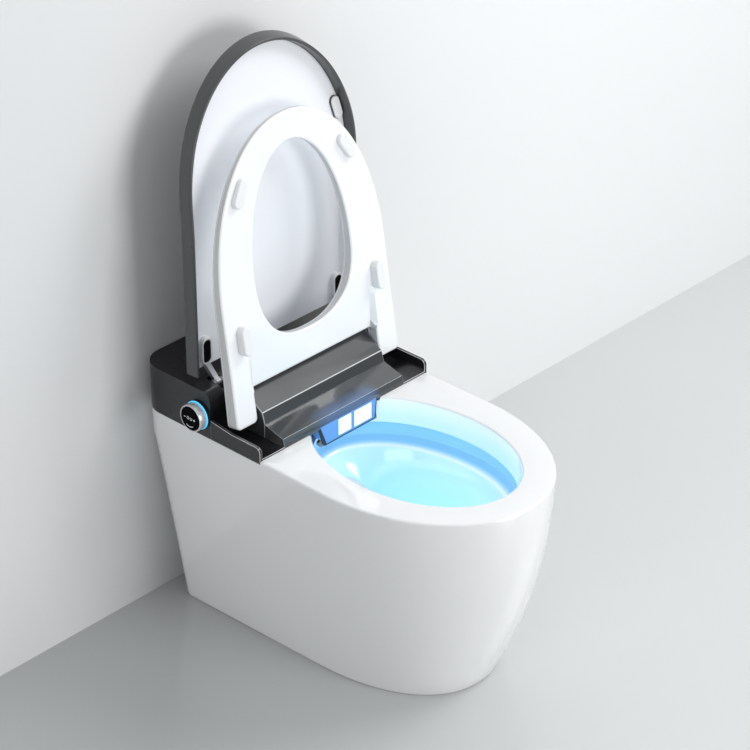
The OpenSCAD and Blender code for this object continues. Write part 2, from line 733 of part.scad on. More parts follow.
// A square bar that slopes with the wand, seen as side, from y0 to y1.
module cap_bar(side, y0, y1) {
    rise = tan(wand_tilt);
    z0 = cap_z + (y0 - box_front) * rise;
    z1 = cap_z + (y1 - box_front) * rise;
    side_view(cap_x - side / 2, cap_x + side / 2) polygon([[y0, z0 - side / 2], [y1, z1 - side / 2],
        [y1, z1 + side / 2], [y0, z0 + side / 2]]);
}
module nozzle_housing() {
    pin_x = air_w / 2 + gap;
    color(lit_blue) on_deck() difference() {
        union() {
            difference() {
                box_view(0, box_front, box_back);
                box_view(-box_wall, box_front + box_wall, box_back + 1);
                block([box_left - 1, box_front + box_wall, 0], [box_right + 1, box_back + 1, box_top + 1]);
            }
            block([box_left - tab_l, 10, 0], [box_left + box_wall, box_back, tab_t]);
            block([box_left + 0.5, 10, -3], [box_left + box_wall, box_back, 1]);
            block([box_right - box_wall, 10, 0], [box_right + tab_l, box_back, tab_t]);
            block([box_right - box_wall, 10, -3], [box_right - 0.5, box_back, 1]);
            for (sx = [-1, 1]) translate([air_x + sx * (pin_x + flap_ear / 2), 0, 0])
                block([-flap_ear / 2, box_front + 2, -3], [flap_ear / 2, flap_pin_y + 2.5, 2]);
        }
        cap_bar(window_w + gap, box_front - 1, box_front + box_wall + 1);
        block([air_x - air_w / 2, box_front - 1, air_top - air_h],
            [air_x + air_w / 2, box_front + box_wall + 1, air_top]);
        block([air_x - air_w / 2, box_front + 0.5, 0], [air_x + air_w / 2, box_front + box_wall + 1, 2.3]);
        rod_x(air_x - pin_x - flap_ear - 1, air_x + pin_x + flap_ear + 1, flap_pin_y, flap_pin_z,
            flap_pin_r + run_gap);
    }
}
module nozzle_gasket() {
    color(near_black) on_deck() difference() {
        box_view(gasket_w, box_front + 1, box_front + 7);
        box_view(0, box_front, box_front + 8);
        block([box_left - 20, -5, -gap], [box_right + 20, 20, 20]);
    }
}
module night_light() {
    color(cyan) on_deck()
        block([box_left_foot + 6, 4, box_foot + box_wall], [duct_left - gap, 8, box_foot + box_wall + 2]);
}

// Seat, drawn closed about its hinge: [x, s, d] with s forward and d up from the hinge.
seat_under_d = 17;
seat_under_slope = 0.026;
seat_top_d = 9.2;
seat_top_slope = 0.0535;
seat_tip_from = 190;
seat_tail = 10;
seat_waist = 2.5;
seat_tip_n = 2.1;
seat_steps = 16;
seat_skin = 5;
hole_mid = 225;
hole_back_n = 2.4;
relief_half = house_half + 1.3;
relief_d = 13;
relief_l = 150;
foil_t = 0.6;
foil_inset = 20;
foil_rim = 10;
foil_start = 60;
shaft_end = leg_in + 24.5;
function seat_under(s) = -seat_under_d - seat_under_slope * s;
function seat_top_face(s) = seat_top_d - seat_top_slope * s;
function seat_half_plan(inset) = let (w = seat_w / 2 - inset)
    concat([[w, -seat_tail + inset], [w, 0], [w - 0.8 * seat_waist, 80]],
        [for (i = [0 : seat_steps])
            let (q = quarter(w - seat_waist, seat_l - seat_tip_from - inset, seat_tip_n, 90 * i / seat_steps))
            [q[0], seat_tip_from + q[1]]]);
function seat_plan(inset) = let (h = seat_half_plan(inset), k = len(h))
    concat([for (i = [k - 1 : -1 : 0]) [h[i][0], -h[i][1]]], [for (i = [0 : k - 2]) [-h[i][0], -h[i][1]]]);
function seat_low_ring(rise, inset) = [for (p = seat_plan(inset)) [p[0], p[1], seat_under(-p[1]) + rise]];
function seat_high_ring(drop, inset) = [for (p = seat_plan(inset)) [p[0], p[1], seat_top_face(-p[1]) - drop]];
function hole_plan(grow) = let (
        a = hole_w / 2 + grow,
        f = seat_l - seat_front - hole_mid + grow,
        b = hole_mid - hole_start + grow,
        n = 12)
    concat([for (i = [0 : n - 1]) let (q = quarter(a, f, 2, 90 * i / n)) [q[0], -hole_mid - q[1]]],
        [for (i = [n : -1 : 1]) let (q = quarter(a, f, 2, 90 * i / n)) [-q[0], -hole_mid - q[1]]],
        [for (i = [0 : n - 1]) let (q = quarter(a, b, hole_back_n, 90 * i / n)) [-q[0], -hole_mid + q[1]]],
        [for (i = [n : -1 : 1]) let (q = quarter(a, b, hole_back_n, 90 * i / n)) [q[0], -hole_mid + q[1]]]);
module seat_frame() {
    on_deck() translate([0, seat_hinge_y, seat_hinge_z]) rotate([-seat_close, 0, 0]) children();
}
module seat_cuts() {
    translate([0, 0, -60]) linear_extrude(100) polygon(hole_plan(0));
    block([-leg_in, -bridge_s, -60], [leg_in, seat_tail + 1, 40]);
    side_view(-relief_half, relief_half) polygon([[1 - bridge_s, -60],
        [1 - bridge_s, seat_under(bridge_s) + relief_d], [-bridge_s, seat_under(bridge_s) + relief_d],
        [-relief_l, seat_under(relief_l)], [-relief_l, -60]]);
}
module foil(grow, t) {
    translate([0, 0, seat_top_d - seat_skin]) rotate([atan(seat_top_slope), 0, 0])
        linear_extrude(t) difference() {
            polygon(seat_plan(foil_inset - grow));
            polygon(hole_plan(foil_rim - grow));
            translate([-seat_w, -foil_start + grow]) square([2 * seat_w, foil_start + seat_tail]);
        }
}
module seat_base() {
    color(seat_white) seat_frame() difference() {
        loft([seat_low_ring(0, 3), seat_low_ring(3, 0), seat_high_ring(seat_skin, 0)]);
        seat_cuts();
        rod_x(leg_in - 1, shaft_end, 0, 0, seat_shaft_r);
        rod_x(-shaft_end, 1 - leg_in, 0, 0, seat_shaft_r);
    }
}
module seat_top() {
    color(seat_white) seat_frame() difference() {
        loft([seat_high_ring(seat_skin, 0), seat_high_ring(1.5, 1.5), seat_high_ring(0, 5)]);
        seat_cuts();
        translate([0, 0, -1]) foil(0.2, foil_t + 1);
    }
}
module seat_heater() { color(copper) seat_frame() foil(0, foil_t); }
pad_w = 20;
pad_l = 50;
rear_pad = [leg_in + 11.5, 140, 0];
front_pad = [0.644 * seat_w / 2, 382, -31];
// A pill of width w and length l, lengthways along Y, standing h high.
module pill(w, l, h) {
    translate([-w / 2, (w - l) / 2, 0]) cube([w, l - w, h]);
    for (sy = [-1, 1]) translate([0, sy * (l - w) / 2, 0]) cylinder(r = w / 2, h = h);
}
// A rubber pad under the seat at [x, s, turn], from the rim up to the underside.
module seat_pad(p) {
    intersection() {
        translate([p[0], -p[1], -seat_hinge_z + gap]) rotate([0, 0, p[2]]) pill(pad_w, pad_l, seat_hinge_z);
        side_view(-half_w, half_w)
            polygon([[0, seat_under(0)], [-seat_l, seat_under(seat_l)], [-seat_l, -60], [0, -60]]);
    }
}
module seat_buffers_rear() { color(seat_white) seat_frame() both_sides() seat_pad(rear_pad); }
module seat_buffers_front() { color(seat_white) seat_frame() both_sides() seat_pad(front_pad); }

// Seat hinge: shafts fixed in the legs turn in bushes, in the drive and in the damper.
drive_end = house_half - 5.2;
drive_start = 0.582 * drive_end;
drive_r = 17;
drive_foot = 15;
shaft_start = drive_end - 19.5;
bush_flange_r = 9;
bush_flange_t = 1.5;
module seat_shafts() {
    color(steel) seat_frame() both_sides() rod_x(shaft_start, shaft_end, 0, 0, seat_shaft_r);
}
// A hinge unit on the right: a drum with a foot on the chassis and a bore for the shaft.
module hinge_unit() {
    difference() {
        union() {
            rod_x(drive_start, drive_end, seat_hinge_y, seat_hinge_z, drive_r);
            block([drive_start, seat_hinge_y - drive_foot, 0],
                [drive_end, seat_hinge_y + drive_foot, seat_hinge_z - 5]);
        }
        rod_x(shaft_start - 1, drive_end + 1, seat_hinge_y, seat_hinge_z, seat_shaft_r + run_gap);
    }
}
module seat_drive() { color(charcoal) on_deck() mirror([1, 0, 0]) hinge_unit(); }
module seat_damper() { color(charcoal) on_deck() hinge_unit(); }
module seat_bushes() {
    color(steel) on_deck() both_sides() difference() {
        union() {
            rod_x(drive_end, house_half, seat_hinge_y, seat_hinge_z, bush_r);
            rod_x(house_half, house_half + bush_flange_t, seat_hinge_y, seat_hinge_z, bush_flange_r);
        }
        rod_x(drive_end - 1, house_half + bush_flange_t + 1, seat_hinge_y, seat_hinge_z,
            seat_shaft_r + run_gap);
    }
}

// Lid, drawn raised: [x, s, t] with s up along its lip and t behind the lip.
lid_lip_y = 152;
lid_foot_z = 92;
lid_straight = 238;
lid_bend_r = 1070;
lid_tip_from = 300;
lid_steps = 12;
lid_flare = 1.5;
lid_tip_flare = 8;
lid_edge = 4;
lid_back_t = 2.5;
liner_t = 2.5;
liner_face = lid_rim_d - lid_back_t - liner_t;
lid_arc = lid_bend_r * lid_bend * PI / 180;
function lid_turn(s) = min(max(s - lid_straight, 0), lid_arc) / lid_bend_r * 180 / PI;
function lip(s) = let (b = lid_turn(s), rest = max(s - lid_straight - lid_arc, 0))
    [lid_lip_y + lid_bend_r * (1 - cos(b)) + rest * sin(b),
     lid_foot_z + min(s, lid_straight) + lid_bend_r * sin(b) + rest * cos(b)];
function lid_at(x, s, t) = let (b = lid_turn(s), p = lip(s)) [x, p[0] + t * cos(b), p[1] - t * sin(b)];
// Stations as [share of the half width, share of the tip length, straight length].
lid_stations = concat([for (s = [0, 120, 238, 259, 280]) [1, 0, s]],
    [for (i = [0 : lid_steps]) [cos(88 * i / lid_steps), sin(88 * i / lid_steps), lid_tip_from]]);
function lid_point(v, grow, tip_grow, t) =
    lid_at(v[0] * (lid_half_w + grow), v[2] + v[1] * (lid_l - lid_tip_from + tip_grow), t);
function flip(p) = [-p[0], p[1], p[2]];
function lid_section(v) = let (
        a = lid_point(v, 0, 0, 0),
        b = lid_point(v, lid_flare, lid_tip_flare, lid_rim_d - lid_edge),
        c = lid_point(v, lid_flare - lid_edge, lid_tip_flare - lid_edge, lid_rim_d))
    [flip(a), a, b, c, flip(c), flip(b)];
function lid_slot_section(v, inset, t0, t1) = let (
        a = lid_point(v, -inset, -inset, t0),
        b = lid_point(v, -inset, -inset, t1))
    [flip(a), a, b, flip(b)];
function from_foot(s) = concat([[1, 0, s]], [for (i = [1 : len(lid_stations) - 1]) lid_stations[i]]);
socket_w = 21;
socket_foot = 99;
socket_top = 149;
socket_front = 164;
recess_w = 16;
recess_l = 41;
recess_mid = 123;
recess_t = 2;
socket_cover = 1.5;
arm_top = 140;
arm_root = 3.2;
arm_eye_r = 7;
bump_x = 166;
bump_s = 362;
bump_w = 20;
bump_l = 44;
bump_lean = 13;
bump_h = 6;
liner_y = lid_lip_y + liner_face;
module lid_shell() {
    color(rim_grey) on_deck() difference() {
        loft([for (v = lid_stations) lid_section(v)]);
        loft([for (v = from_foot(-1)) lid_slot_section(v, lid_wall, -1, lid_rim_d - lid_back_t)]);
    }
}
module lid_liner() {
    color(seat_white) on_deck()
        loft([for (v = from_foot(0.5))
            lid_slot_section(v, lid_wall + gap, liner_face, liner_face + liner_t)]);
}
module arm_side() {
    front = socket_front + recess_t + socket_cover;
    back = liner_y - 0.5;
    side_view(lid_arm_x - lid_arm_t / 2, lid_arm_x + lid_arm_t / 2) polygon([
        [lid_hinge_y - arm_root, lid_hinge_z + arm_root], [lid_hinge_y + arm_root, lid_hinge_z - arm_root],
        [back, socket_foot - 1], [back, arm_top], [front, arm_top], [front, socket_foot + 6]]);
}
module lid_arms() {
    color(steel) on_deck() both_sides() difference() {
        union() {
            arm_side();
            rod_x(lid_arm_x - lid_arm_t / 2, lid_arm_x + lid_arm_t / 2, lid_hinge_y, lid_hinge_z, arm_eye_r);
        }
        rod_x(lid_arm_x - lid_arm_t, lid_arm_x + lid_arm_t, lid_hinge_y, lid_hinge_z, lid_pin_r + run_gap);
    }
}
module lid_sockets() {
    color(seat_white) on_deck() both_sides() difference() {
        translate([lid_arm_x, liner_y, (socket_foot + socket_top) / 2]) rotate([90, 0, 0])
            pill(socket_w, socket_top - socket_foot, liner_y - socket_front);
        translate([lid_arm_x, socket_front + recess_t, recess_mid]) rotate([90, 0, 0])
            pill(recess_w, recess_l, recess_t + 1);
        arm_side();
    }
}
module lid_bumpers() {
    color(seat_white) on_deck() both_sides() translate(lid_at(bump_x, bump_s, liner_face))
        rotate([90 - lid_turn(bump_s), 0, 0]) rotate([0, 0, bump_lean]) pill(bump_w, bump_l, bump_h);
}
module lid_pins() {
    color(steel) on_deck() both_sides()
        rod_x(lid_arm_x - ear_half, lid_arm_x + ear_half, lid_hinge_y, lid_hinge_z, lid_pin_r);
}
hinge_block_front = 128;
hinge_block_back = 158;
module lid_hinge_blocks() {
    color(charcoal) on_deck() both_sides() difference() {
        union() {
            block([lid_arm_x - ear_half, hinge_block_front, 0],
                [lid_arm_x + ear_half, hinge_block_back, lid_hinge_z - arm_eye_r - 1]);
            block([lid_arm_x - ear_half, lid_hinge_y - arm_eye_r, lid_hinge_z - arm_eye_r - 2],
                [lid_arm_x + ear_half, lid_hinge_y + arm_eye_r, lid_hinge_z]);
            rod_x(lid_arm_x - ear_half, lid_arm_x + ear_half, lid_hinge_y, lid_hinge_z, arm_eye_r);
        }
        block([lid_arm_x - lid_arm_t / 2 - gap, hinge_block_front - 1, lid_hinge_z - arm_eye_r - 1],
            [lid_arm_x + lid_arm_t / 2 + gap, hinge_block_back + 1, block_h + 10]);
        rod_x(lid_arm_x - ear_half - 1, lid_arm_x + ear_half + 1, lid_hinge_y, lid_hinge_z, lid_pin_r);
    }
}

// Control knob, drawn from the cover side outwards along +Z.
knob_shaft_r = 5;
mount_flange_r = 22;
mount_flange_t = 4;
mount_tube_r = 10;
mount_tube_l = 15;
glow_in = knob_d / 2 + 0.3;
glow_out = knob_d / 2 + 1.6;
glow_t = 6;
collar_r = 7.5;
ring_foot = 4;
web_foot = 6;
web_t = 6;
ring_wall = 2.5;
head_foot = 15;
head_gap = 0.5;
face_t = 3.5;
clip_t = 1.7;
switch_t = 8;
switch_half = 10;
arm_w = 3;
module knob_frame() {
    on_deck() translate([-half_w, knob_y, knob_z]) rotate([0, -90, 0]) children();
}
module knob_mount() {
    back = -cover_wall - mount_tube_l;
    color(charcoal) knob_frame() difference() {
        union() {
            translate([0, 0, -cover_wall - mount_flange_t]) cylinder(r = mount_flange_r, h = mount_flange_t);
            translate([0, 0, back]) cylinder(r = mount_tube_r, h = mount_tube_l);
            for (sy = [-1, 1]) translate([0, sy * (switch_half + arm_w / 2), 0])
                block([-6, -arm_w / 2, back - clip_t - knob_travel - switch_t - gap],
                    [6, arm_w / 2, -cover_wall - 1]);
        }
        translate([0, 0, back - 1]) cylinder(r = knob_shaft_r + run_gap, h = mount_tube_l + 2);
    }
}
module knob_switch() {
    top = -cover_wall - mount_tube_l - clip_t - knob_travel - gap;
    color(near_black) knob_frame() block([-6, -switch_half, top - switch_t], [6, switch_half, top]);
}
module knob_glow_ring() {
    color(cyan) knob_frame() difference() {
        cylinder(r = glow_out, h = glow_t);
        translate([0, 0, -1]) cylinder(r = glow_in, h = glow_t + 2);
    }
}
module knob_stem() {
    back = -cover_wall - mount_tube_l - gap;
    color(steel) knob_frame() {
        translate([0, 0, back - clip_t]) cylinder(r = collar_r, h = clip_t);
        translate([0, 0, back - 1]) cylinder(r = knob_shaft_r, h = head_foot - back + 2);
        translate([0, 0, ring_foot]) cylinder(r = collar_r, h = web_foot - gap - ring_foot);
        translate([0, 0, web_foot + web_t + gap]) cylinder(r = collar_r, h = head_foot - web_foot - web_t);
        translate([0, 0, head_foot])
            cylinder(r = knob_d / 2 - ring_wall - head_gap, h = knob_out - face_t - head_foot);
    }
}
module knob_ring() {
    color(steel) knob_frame() difference() {
        translate([0, 0, ring_foot]) cylinder(r = knob_d / 2, h = knob_out - ring_foot - 1.5);
        translate([0, 0, web_foot + web_t]) cylinder(r = knob_d / 2 - ring_wall, h = knob_out);
        translate([0, 0, ring_foot - 1]) cylinder(r = knob_d / 2 - ring_wall, h = web_foot - ring_foot + 1);
        translate([0, 0, 1]) cylinder(r = knob_shaft_r + run_gap, h = knob_out);
    }
}
module knob_face() {
    color(near_black) knob_frame()
        translate([0, 0, knob_out - face_t]) cylinder(r = knob_d / 2 - ring_wall - head_gap, h = face_t);
}

// Wash wand, drawn along +Y in its own sloping frame, from the nozzle panel backwards.
wand_start = -4;
wand_bore = 3;
spray_r = 1.5;
rack_flat = 9;
rack_foot = 60;
rack_t = 2;
rack_half = 3;
tooth = 1;
tooth_gap = 0.08;
pitch = PI * tooth;
pinion_y = 75;
pinion_teeth = 12;
pinion_r = pinion_teeth * tooth / 2;
pitch_z = rack_flat + rack_t + 1.25 * tooth;
pinion_z = pitch_z + pinion_r;
first_tooth = 67;
last_tooth = 182;
guide_start = 14;
guide_end = 95;
guide_r = 14;
guide_slot = 4;
guide_foot_half = 8;
pinion_shaft_r = 2;
motor_start = -38;
motor_r = 8.5;
ear_out = -15;
ear_in = -12;
ear_reach = 6;
hose_y = 84;
hose_z = 22;
hose_r = 3.5;
hose_x = -19;
module wand_frame() { on_deck() translate([cap_x, box_front, cap_z]) rotate([wand_tilt, 0, 0]) children(); }
// The space in front of the cap's back face, where the wand tube is trimmed.
module cap_trim() {
    on_deck() block([-60, -80, -100], [60, box_front + cap_t, 60]);
}
module wand_cap() {
    color(lit_blue) on_deck() cap_bar(window_w - 2 * gap, box_front, box_front + cap_t);
}
module wand_tube() {
    color(seat_white) difference() {
        wand_frame() difference() {
            rod_y(wand_start, wand_l, 0, 0, wand_r);
            rod_y(wand_start + 12, wand_l + 1, 0, 0, wand_bore);
            block([-wand_r, rack_foot, rack_flat], [wand_r, wand_l + 1, wand_r + 1]);
            for (y = [16, 24]) translate([0, y, 0]) cylinder(r = spray_r, h = wand_r + 1);
        }
        cap_trim();
    }
}
module wand_rack() {
    half = pitch / 4 - tooth_gap;
    root = half + 1.25 * tooth * tan(20);
    tip = half - tooth * tan(20);
    top = rack_flat + rack_t;
    count = floor((last_tooth - first_tooth) / pitch);
    first = pinion_y + pitch / 2 - pitch * round((pinion_y - first_tooth) / pitch);
    color(steel) wand_frame() side_view(-rack_half, rack_half) polygon(concat([[wand_l, rack_flat],
        [rack_foot, rack_flat], [rack_foot, top]],
        [for (i = [0 : count - 1], p = [[-root, top], [-tip, top + 2.25 * tooth], [tip, top + 2.25 * tooth],
            [root, top]]) [first + i * pitch + p[0], p[1]]],
        [[wand_l, top]]));
}
module wand_pinion() {
    half = pitch / 4 - tooth_gap;
    root_r = pinion_r - 1.25 * tooth;
    color(seat_white) wand_frame() translate([0, pinion_y, pinion_z]) rotate([0, 90, 0]) {
        translate([0, 0, -rack_half]) linear_extrude(2 * rack_half) union() {
            circle(r = root_r);
            for (i = [0 : pinion_teeth - 1]) rotate(360 * i / pinion_teeth)
                polygon([[root_r - 0.5, -1.1], [pinion_r - 0.5, -half - 0.08],
                    [pinion_r + 0.9 * tooth, -0.33],
                    [pinion_r + 0.9 * tooth, 0.33], [pinion_r - 0.5, half + 0.08], [root_r - 0.5, 1.1]]);
        }
        translate([0, 0, ear_out - 5]) cylinder(r = pinion_shaft_r, h = -ear_out + 5);
    }
}
module wand_guide() {
    color(near_black) on_deck() difference() {
        union() {
            translate([cap_x, box_front, cap_z]) rotate([wand_tilt, 0, 0]) {
                rod_y(guide_start, guide_end, 0, 0, guide_r);
                block([ear_out, pinion_y - ear_reach, 0], [ear_in, pinion_y + ear_reach, pinion_z + 6]);
            }
            block([cap_x - guide_foot_half, plate_notch_back + 2, 0],
                [cap_x + guide_foot_half, plate_notch_back + 9, hose_z]);
            rod_x(hose_x, cap_x, hose_y, hose_z, hose_r + 1);
        }
        translate([cap_x, box_front, cap_z]) rotate([wand_tilt, 0, 0]) {
            rod_y(guide_start - 1, wand_l, 0, 0, wand_r + run_gap);
            block([-guide_slot, guide_start - 1, 0], [guide_slot, guide_end + 1, guide_r + 1]);
            rod_x(ear_out - 1, ear_in + 1, pinion_y, pinion_z, pinion_shaft_r + run_gap);
        }
    }
}
module wand_motor() {
    color(steel) wand_frame() difference() {
        rod_x(motor_start, ear_out, pinion_y, pinion_z, motor_r);
        rod_x(ear_out - 6, ear_out + 1, pinion_y, pinion_z, pinion_shaft_r + run_gap);
    }
}

// Warm air outlet: flap, duct, heater and blower.
duct_wall = 2;
duct_left = 19;
duct_right = 63;
duct_top = 42;
duct_foot = 3;
duct_front = 4.5;
blower_x = 90;
blower_y = 200;
scroll_r = 44;
scroll_foot = 3;
scroll_top = 43;
outlet_back = 200;
duct_end = 150;
base_left = 19;
base_right = 135;
base_front = 94;
base_back = 264;
intake_r = 22;
wheel_h = 26;
wheel_foot = 8;
wheel_shaft_r = 2.5;
blade_count = 24;
blower_motor_r = 16;
blower_motor_h = 22;
module dryer_flap() {
    half = air_w / 2 - gap;
    color(lit_blue) on_deck() {
        block([air_x - half, box_front, air_top - air_h + gap], [air_x + half, box_front + 2, -0.2]);
        rod_x(air_x - half - flap_ear, air_x + half + flap_ear, flap_pin_y, flap_pin_z, flap_pin_r);
    }
}
module dryer_duct() {
    w = duct_wall;
    color(near_black) on_deck() difference() {
        side_view(duct_left, duct_right) polygon([[duct_front, -30.2], [duct_front, 1.5], [60, 30],
            [118, duct_top], [duct_end, duct_top], [duct_end, duct_foot], [72, duct_foot]]);
        side_view(duct_left + w, duct_right - w) polygon([[duct_front - 1, -28.2], [duct_front - 1, -1],
            [60.6, 28], [118.2, duct_top - w], [duct_end + 1, duct_top - w], [duct_end + 1, duct_foot + w],
            [71.4, duct_foot + w]]);
    }
}
module dryer_heater() {
    x0 = duct_left + duct_wall;
    x1 = duct_right - duct_wall;
    color(copper) on_deck() difference() {
        block([x0, 104, duct_foot + duct_wall], [x1, 124, 30]);
        for (i = [0 : 5]) block([x0 + 3 + 6 * i, 103, duct_foot + duct_wall + 3], [x0 + 7 + 6 * i, 125, 27]);
    }
}
module blower_housing() {
    w = duct_wall;
    color(near_black) on_deck() difference() {
        union() {
            block([base_left, base_front, 0], [base_right, base_back, scroll_foot]);
            translate([blower_x, blower_y, 0]) cylinder(r = scroll_r, h = scroll_top);
            block([duct_left, duct_end, 0], [duct_right, outlet_back, scroll_top]);
        }
        translate([blower_x, blower_y, scroll_foot + w])
            cylinder(r = scroll_r - w - 1, h = scroll_top - scroll_foot - 2 * w);
        block([duct_left + w, duct_end - 1, scroll_foot + w],
            [duct_right - w, outlet_back - w, scroll_top - w]);
        translate([blower_x, blower_y, -1]) cylinder(r = intake_r, h = scroll_foot + w + 2);
        translate([blower_x, blower_y, scroll_top - w - 1]) cylinder(r = wheel_shaft_r + run_gap, h = w + 2);
    }
}
module blower_wheel() {
    color(charcoal) on_deck() translate([blower_x, blower_y, wheel_foot]) {
        difference() {
            cylinder(r = blower_r, h = wheel_h);
            translate([0, 0, -1]) cylinder(r = blower_r - 8, h = wheel_h - 1);
            for (i = [0 : blade_count - 1]) rotate(360 * i / blade_count)
                translate([blower_r - 9, -1.6, 2]) cube([10, 3.2, wheel_h - 4]);
        }
        cylinder(r = 8, h = wheel_h);
        cylinder(r = wheel_shaft_r, h = scroll_top - wheel_foot + 10);
    }
}
module blower_motor() {
    color(steel) on_deck() translate([blower_x, blower_y, scroll_top]) difference() {
        cylinder(r = blower_motor_r, h = blower_motor_h);
        translate([0, 0, -1]) cylinder(r = wheel_shaft_r + run_gap, h = 12);
    }
}

// Works in the tray: flush pump, water inlet, heater, supply and cord gland.
pump_z = -52;
pump_r = 34;
pump_wall = 3;
pump_front = 118;
pump_back = 160;
pump_motor_r = 28;
pump_motor_back = 240;
pump_shaft_r = 4;
impeller_r = 28;
pipe_bore = 11;
pipe_end = 60;
stub_r = 10;
stub_end = -46;
supply_r = 8;
supply_y = 140;
supply_z = -55;
valve_left = -150;
valve_right = -95;
valve_front = 120;
valve_back = 165;
valve_top = -30;
spigot_end = -125;
spigot_l = 15;
spigot_stem_r = 9;
module pump_housing() {
    color(charcoal) on_deck() difference() {
        union() {
            rod_y(pump_front, pump_back, passage_x, pump_z, pump_r);
            rod_y(pipe_end, pump_front + 1, passage_x, passage_z, pipe_outer_r);
            rod_x(stub_end, passage_x, supply_y, supply_z, stub_r);
            block([passage_x - 24, pump_front, tray_floor], [passage_x + 24, pump_back, pump_z]);
        }
        rod_y(pump_front + pump_wall, pump_back - pump_wall, passage_x, pump_z, pump_r - pump_wall);
        rod_y(pipe_end - 1, pump_front + pump_wall + 1, passage_x, passage_z, pipe_bore);
        rod_x(stub_end - 1, passage_x - 20, supply_y, supply_z, supply_r);
        rod_y(pump_back - pump_wall - 1, pump_back + 1, passage_x, pump_z, pump_shaft_r + run_gap);
    }
}
module pump_impeller() {
    front = pump_front + pump_wall + 5;
    back = pump_back - pump_wall - 5;
    color(seat_white) on_deck() {
        rod_y(back - 4, back, passage_x, pump_z, impeller_r);
        rod_y(front, back, passage_x, pump_z, 9);
        rod_y(front, pump_back + 14, passage_x, pump_z, pump_shaft_r);
        for (i = [0 : 5]) translate([passage_x, 0, pump_z]) rotate([0, 60 * i, 0])
            block([0, front, -1.5], [impeller_r - 1, back, 1.5]);
    }
}
module pump_motor() {
    color(steel) on_deck() difference() {
        union() {
            rod_y(pump_back, pump_motor_back, passage_x, pump_z, pump_motor_r);
            block([passage_x - 18, pump_back + 15, tray_floor],
                [passage_x + 18, pump_motor_back - 10, pump_z]);
        }
        rod_y(pump_back - 1, pump_back + 15, passage_x, pump_z, pump_shaft_r + run_gap);
    }
}
module inlet_valve() {
    color(seat_white) on_deck() {
        block([valve_left, valve_front, tray_floor], [valve_right, valve_back, valve_top]);
        translate([inlet_x, inlet_y, spigot_end]) cylinder(r = spigot_r, h = spigot_l);
        translate([inlet_x, inlet_y, spigot_end + spigot_l - 1])
            cylinder(r = spigot_stem_r, h = tray_floor - spigot_end - spigot_l + 2);
    }
}
module supply_pipe() {
    color(seat_white) on_deck() difference() {
        rod_x(valve_right, passage_x - pump_r - 2, supply_y, supply_z, supply_r);
        rod_x(valve_right - 1, 0, supply_y, supply_z, supply_r - 2);
    }
}
heater_left = -150;
heater_right = -60;
heater_front = 178;
heater_back = 250;
heater_top = -45;
module water_heater() {
    color(copper) on_deck()
        block([heater_left, heater_front, tray_floor], [heater_right, heater_back, heater_top]);
}
hose_start_x = -70;
hose_start_y = 186;
hose_low_z = -14;
hose_side_x = -26.5;
elbow = 4.5;
hose_corners = [[hose_start_x, hose_start_y, hose_low_z], [hose_side_x, hose_start_y, hose_low_z],
    [hose_side_x, hose_start_y, hose_z], [hose_side_x, hose_y, hose_z]];
// The hose runs from the heater to the guide through square elbows.
module wash_hose() {
    color(seat_white) on_deck() {
        translate([hose_start_x, hose_start_y, heater_top])
            cylinder(r = hose_r, h = hose_low_z - heater_top);
        rod_x(hose_start_x, hose_side_x, hose_start_y, hose_low_z, hose_r);
        translate([hose_side_x, hose_start_y, hose_low_z]) cylinder(r = hose_r, h = hose_z - hose_low_z);
        rod_y(hose_y, hose_start_y, hose_side_x, hose_z, hose_r);
        rod_x(hose_side_x, hose_x, hose_y, hose_z, hose_r);
        for (p = hose_corners) translate(p) cube(2 * elbow, center = true);
    }
}
supply_left = 60;
supply_right = tray_half - 10;
supply_front = 110;
supply_back = 190;
module power_supply() {
    color(steel) on_deck()
        block([supply_left, supply_front, tray_floor], [supply_right, supply_back, heater_top]);
}
frame_left = -138;
frame_right = -34;
post_r = 4;
post_h = 8;
board_t = 1.6;
can_r = 8;
can_h = 22;
can_x = 22;
can_y = 175;
post_in = 12;
post_front = 156;
post_back = 244;
board_in = 6;
board_front = 150;
board_back = 250;
chip_x = 30;
chip_w = 25;
chip_l = 30;
chip_top = 18;
module board_frame() {
    color(charcoal) on_deck() {
        block([frame_left, base_front, 0], [frame_right, base_back, scroll_foot]);
        for (x = [frame_left + post_in, frame_right - post_in], y = [post_front, post_back])
            translate([x, y, 0]) cylinder(r = post_r, h = scroll_foot + post_h);
    }
}
module control_board() {
    z = scroll_foot + post_h;
    color(board_green) on_deck() {
        block([frame_left + board_in, board_front, z], [frame_right - board_in, board_back, z + board_t]);
        block([frame_left + chip_x, can_y, z + board_t - 0.1],
            [frame_left + chip_x + chip_w, can_y + chip_l, z + chip_top]);
        for (i = [0 : 2]) translate([frame_right - can_x, can_y + can_x * i, z + board_t - 0.1])
            cylinder(r = can_r, h = can_h);
    }
}
gland_bore = 4;
gland_flange_r = 16;
gland_flange_t = 4;
gland_end = -120;
module cord_gland() {
    color(near_black) on_deck() translate([gland_x, gland_y, 0]) difference() {
        union() {
            translate([0, 0, tray_floor]) cylinder(r = gland_flange_r, h = gland_flange_t);
            translate([0, 0, gland_end]) cylinder(r = gland_stem_r, h = tray_floor - gland_end + 1);
        }
        translate([0, 0, gland_end - 1]) cylinder(r = gland_bore, h = 60);
    }
}

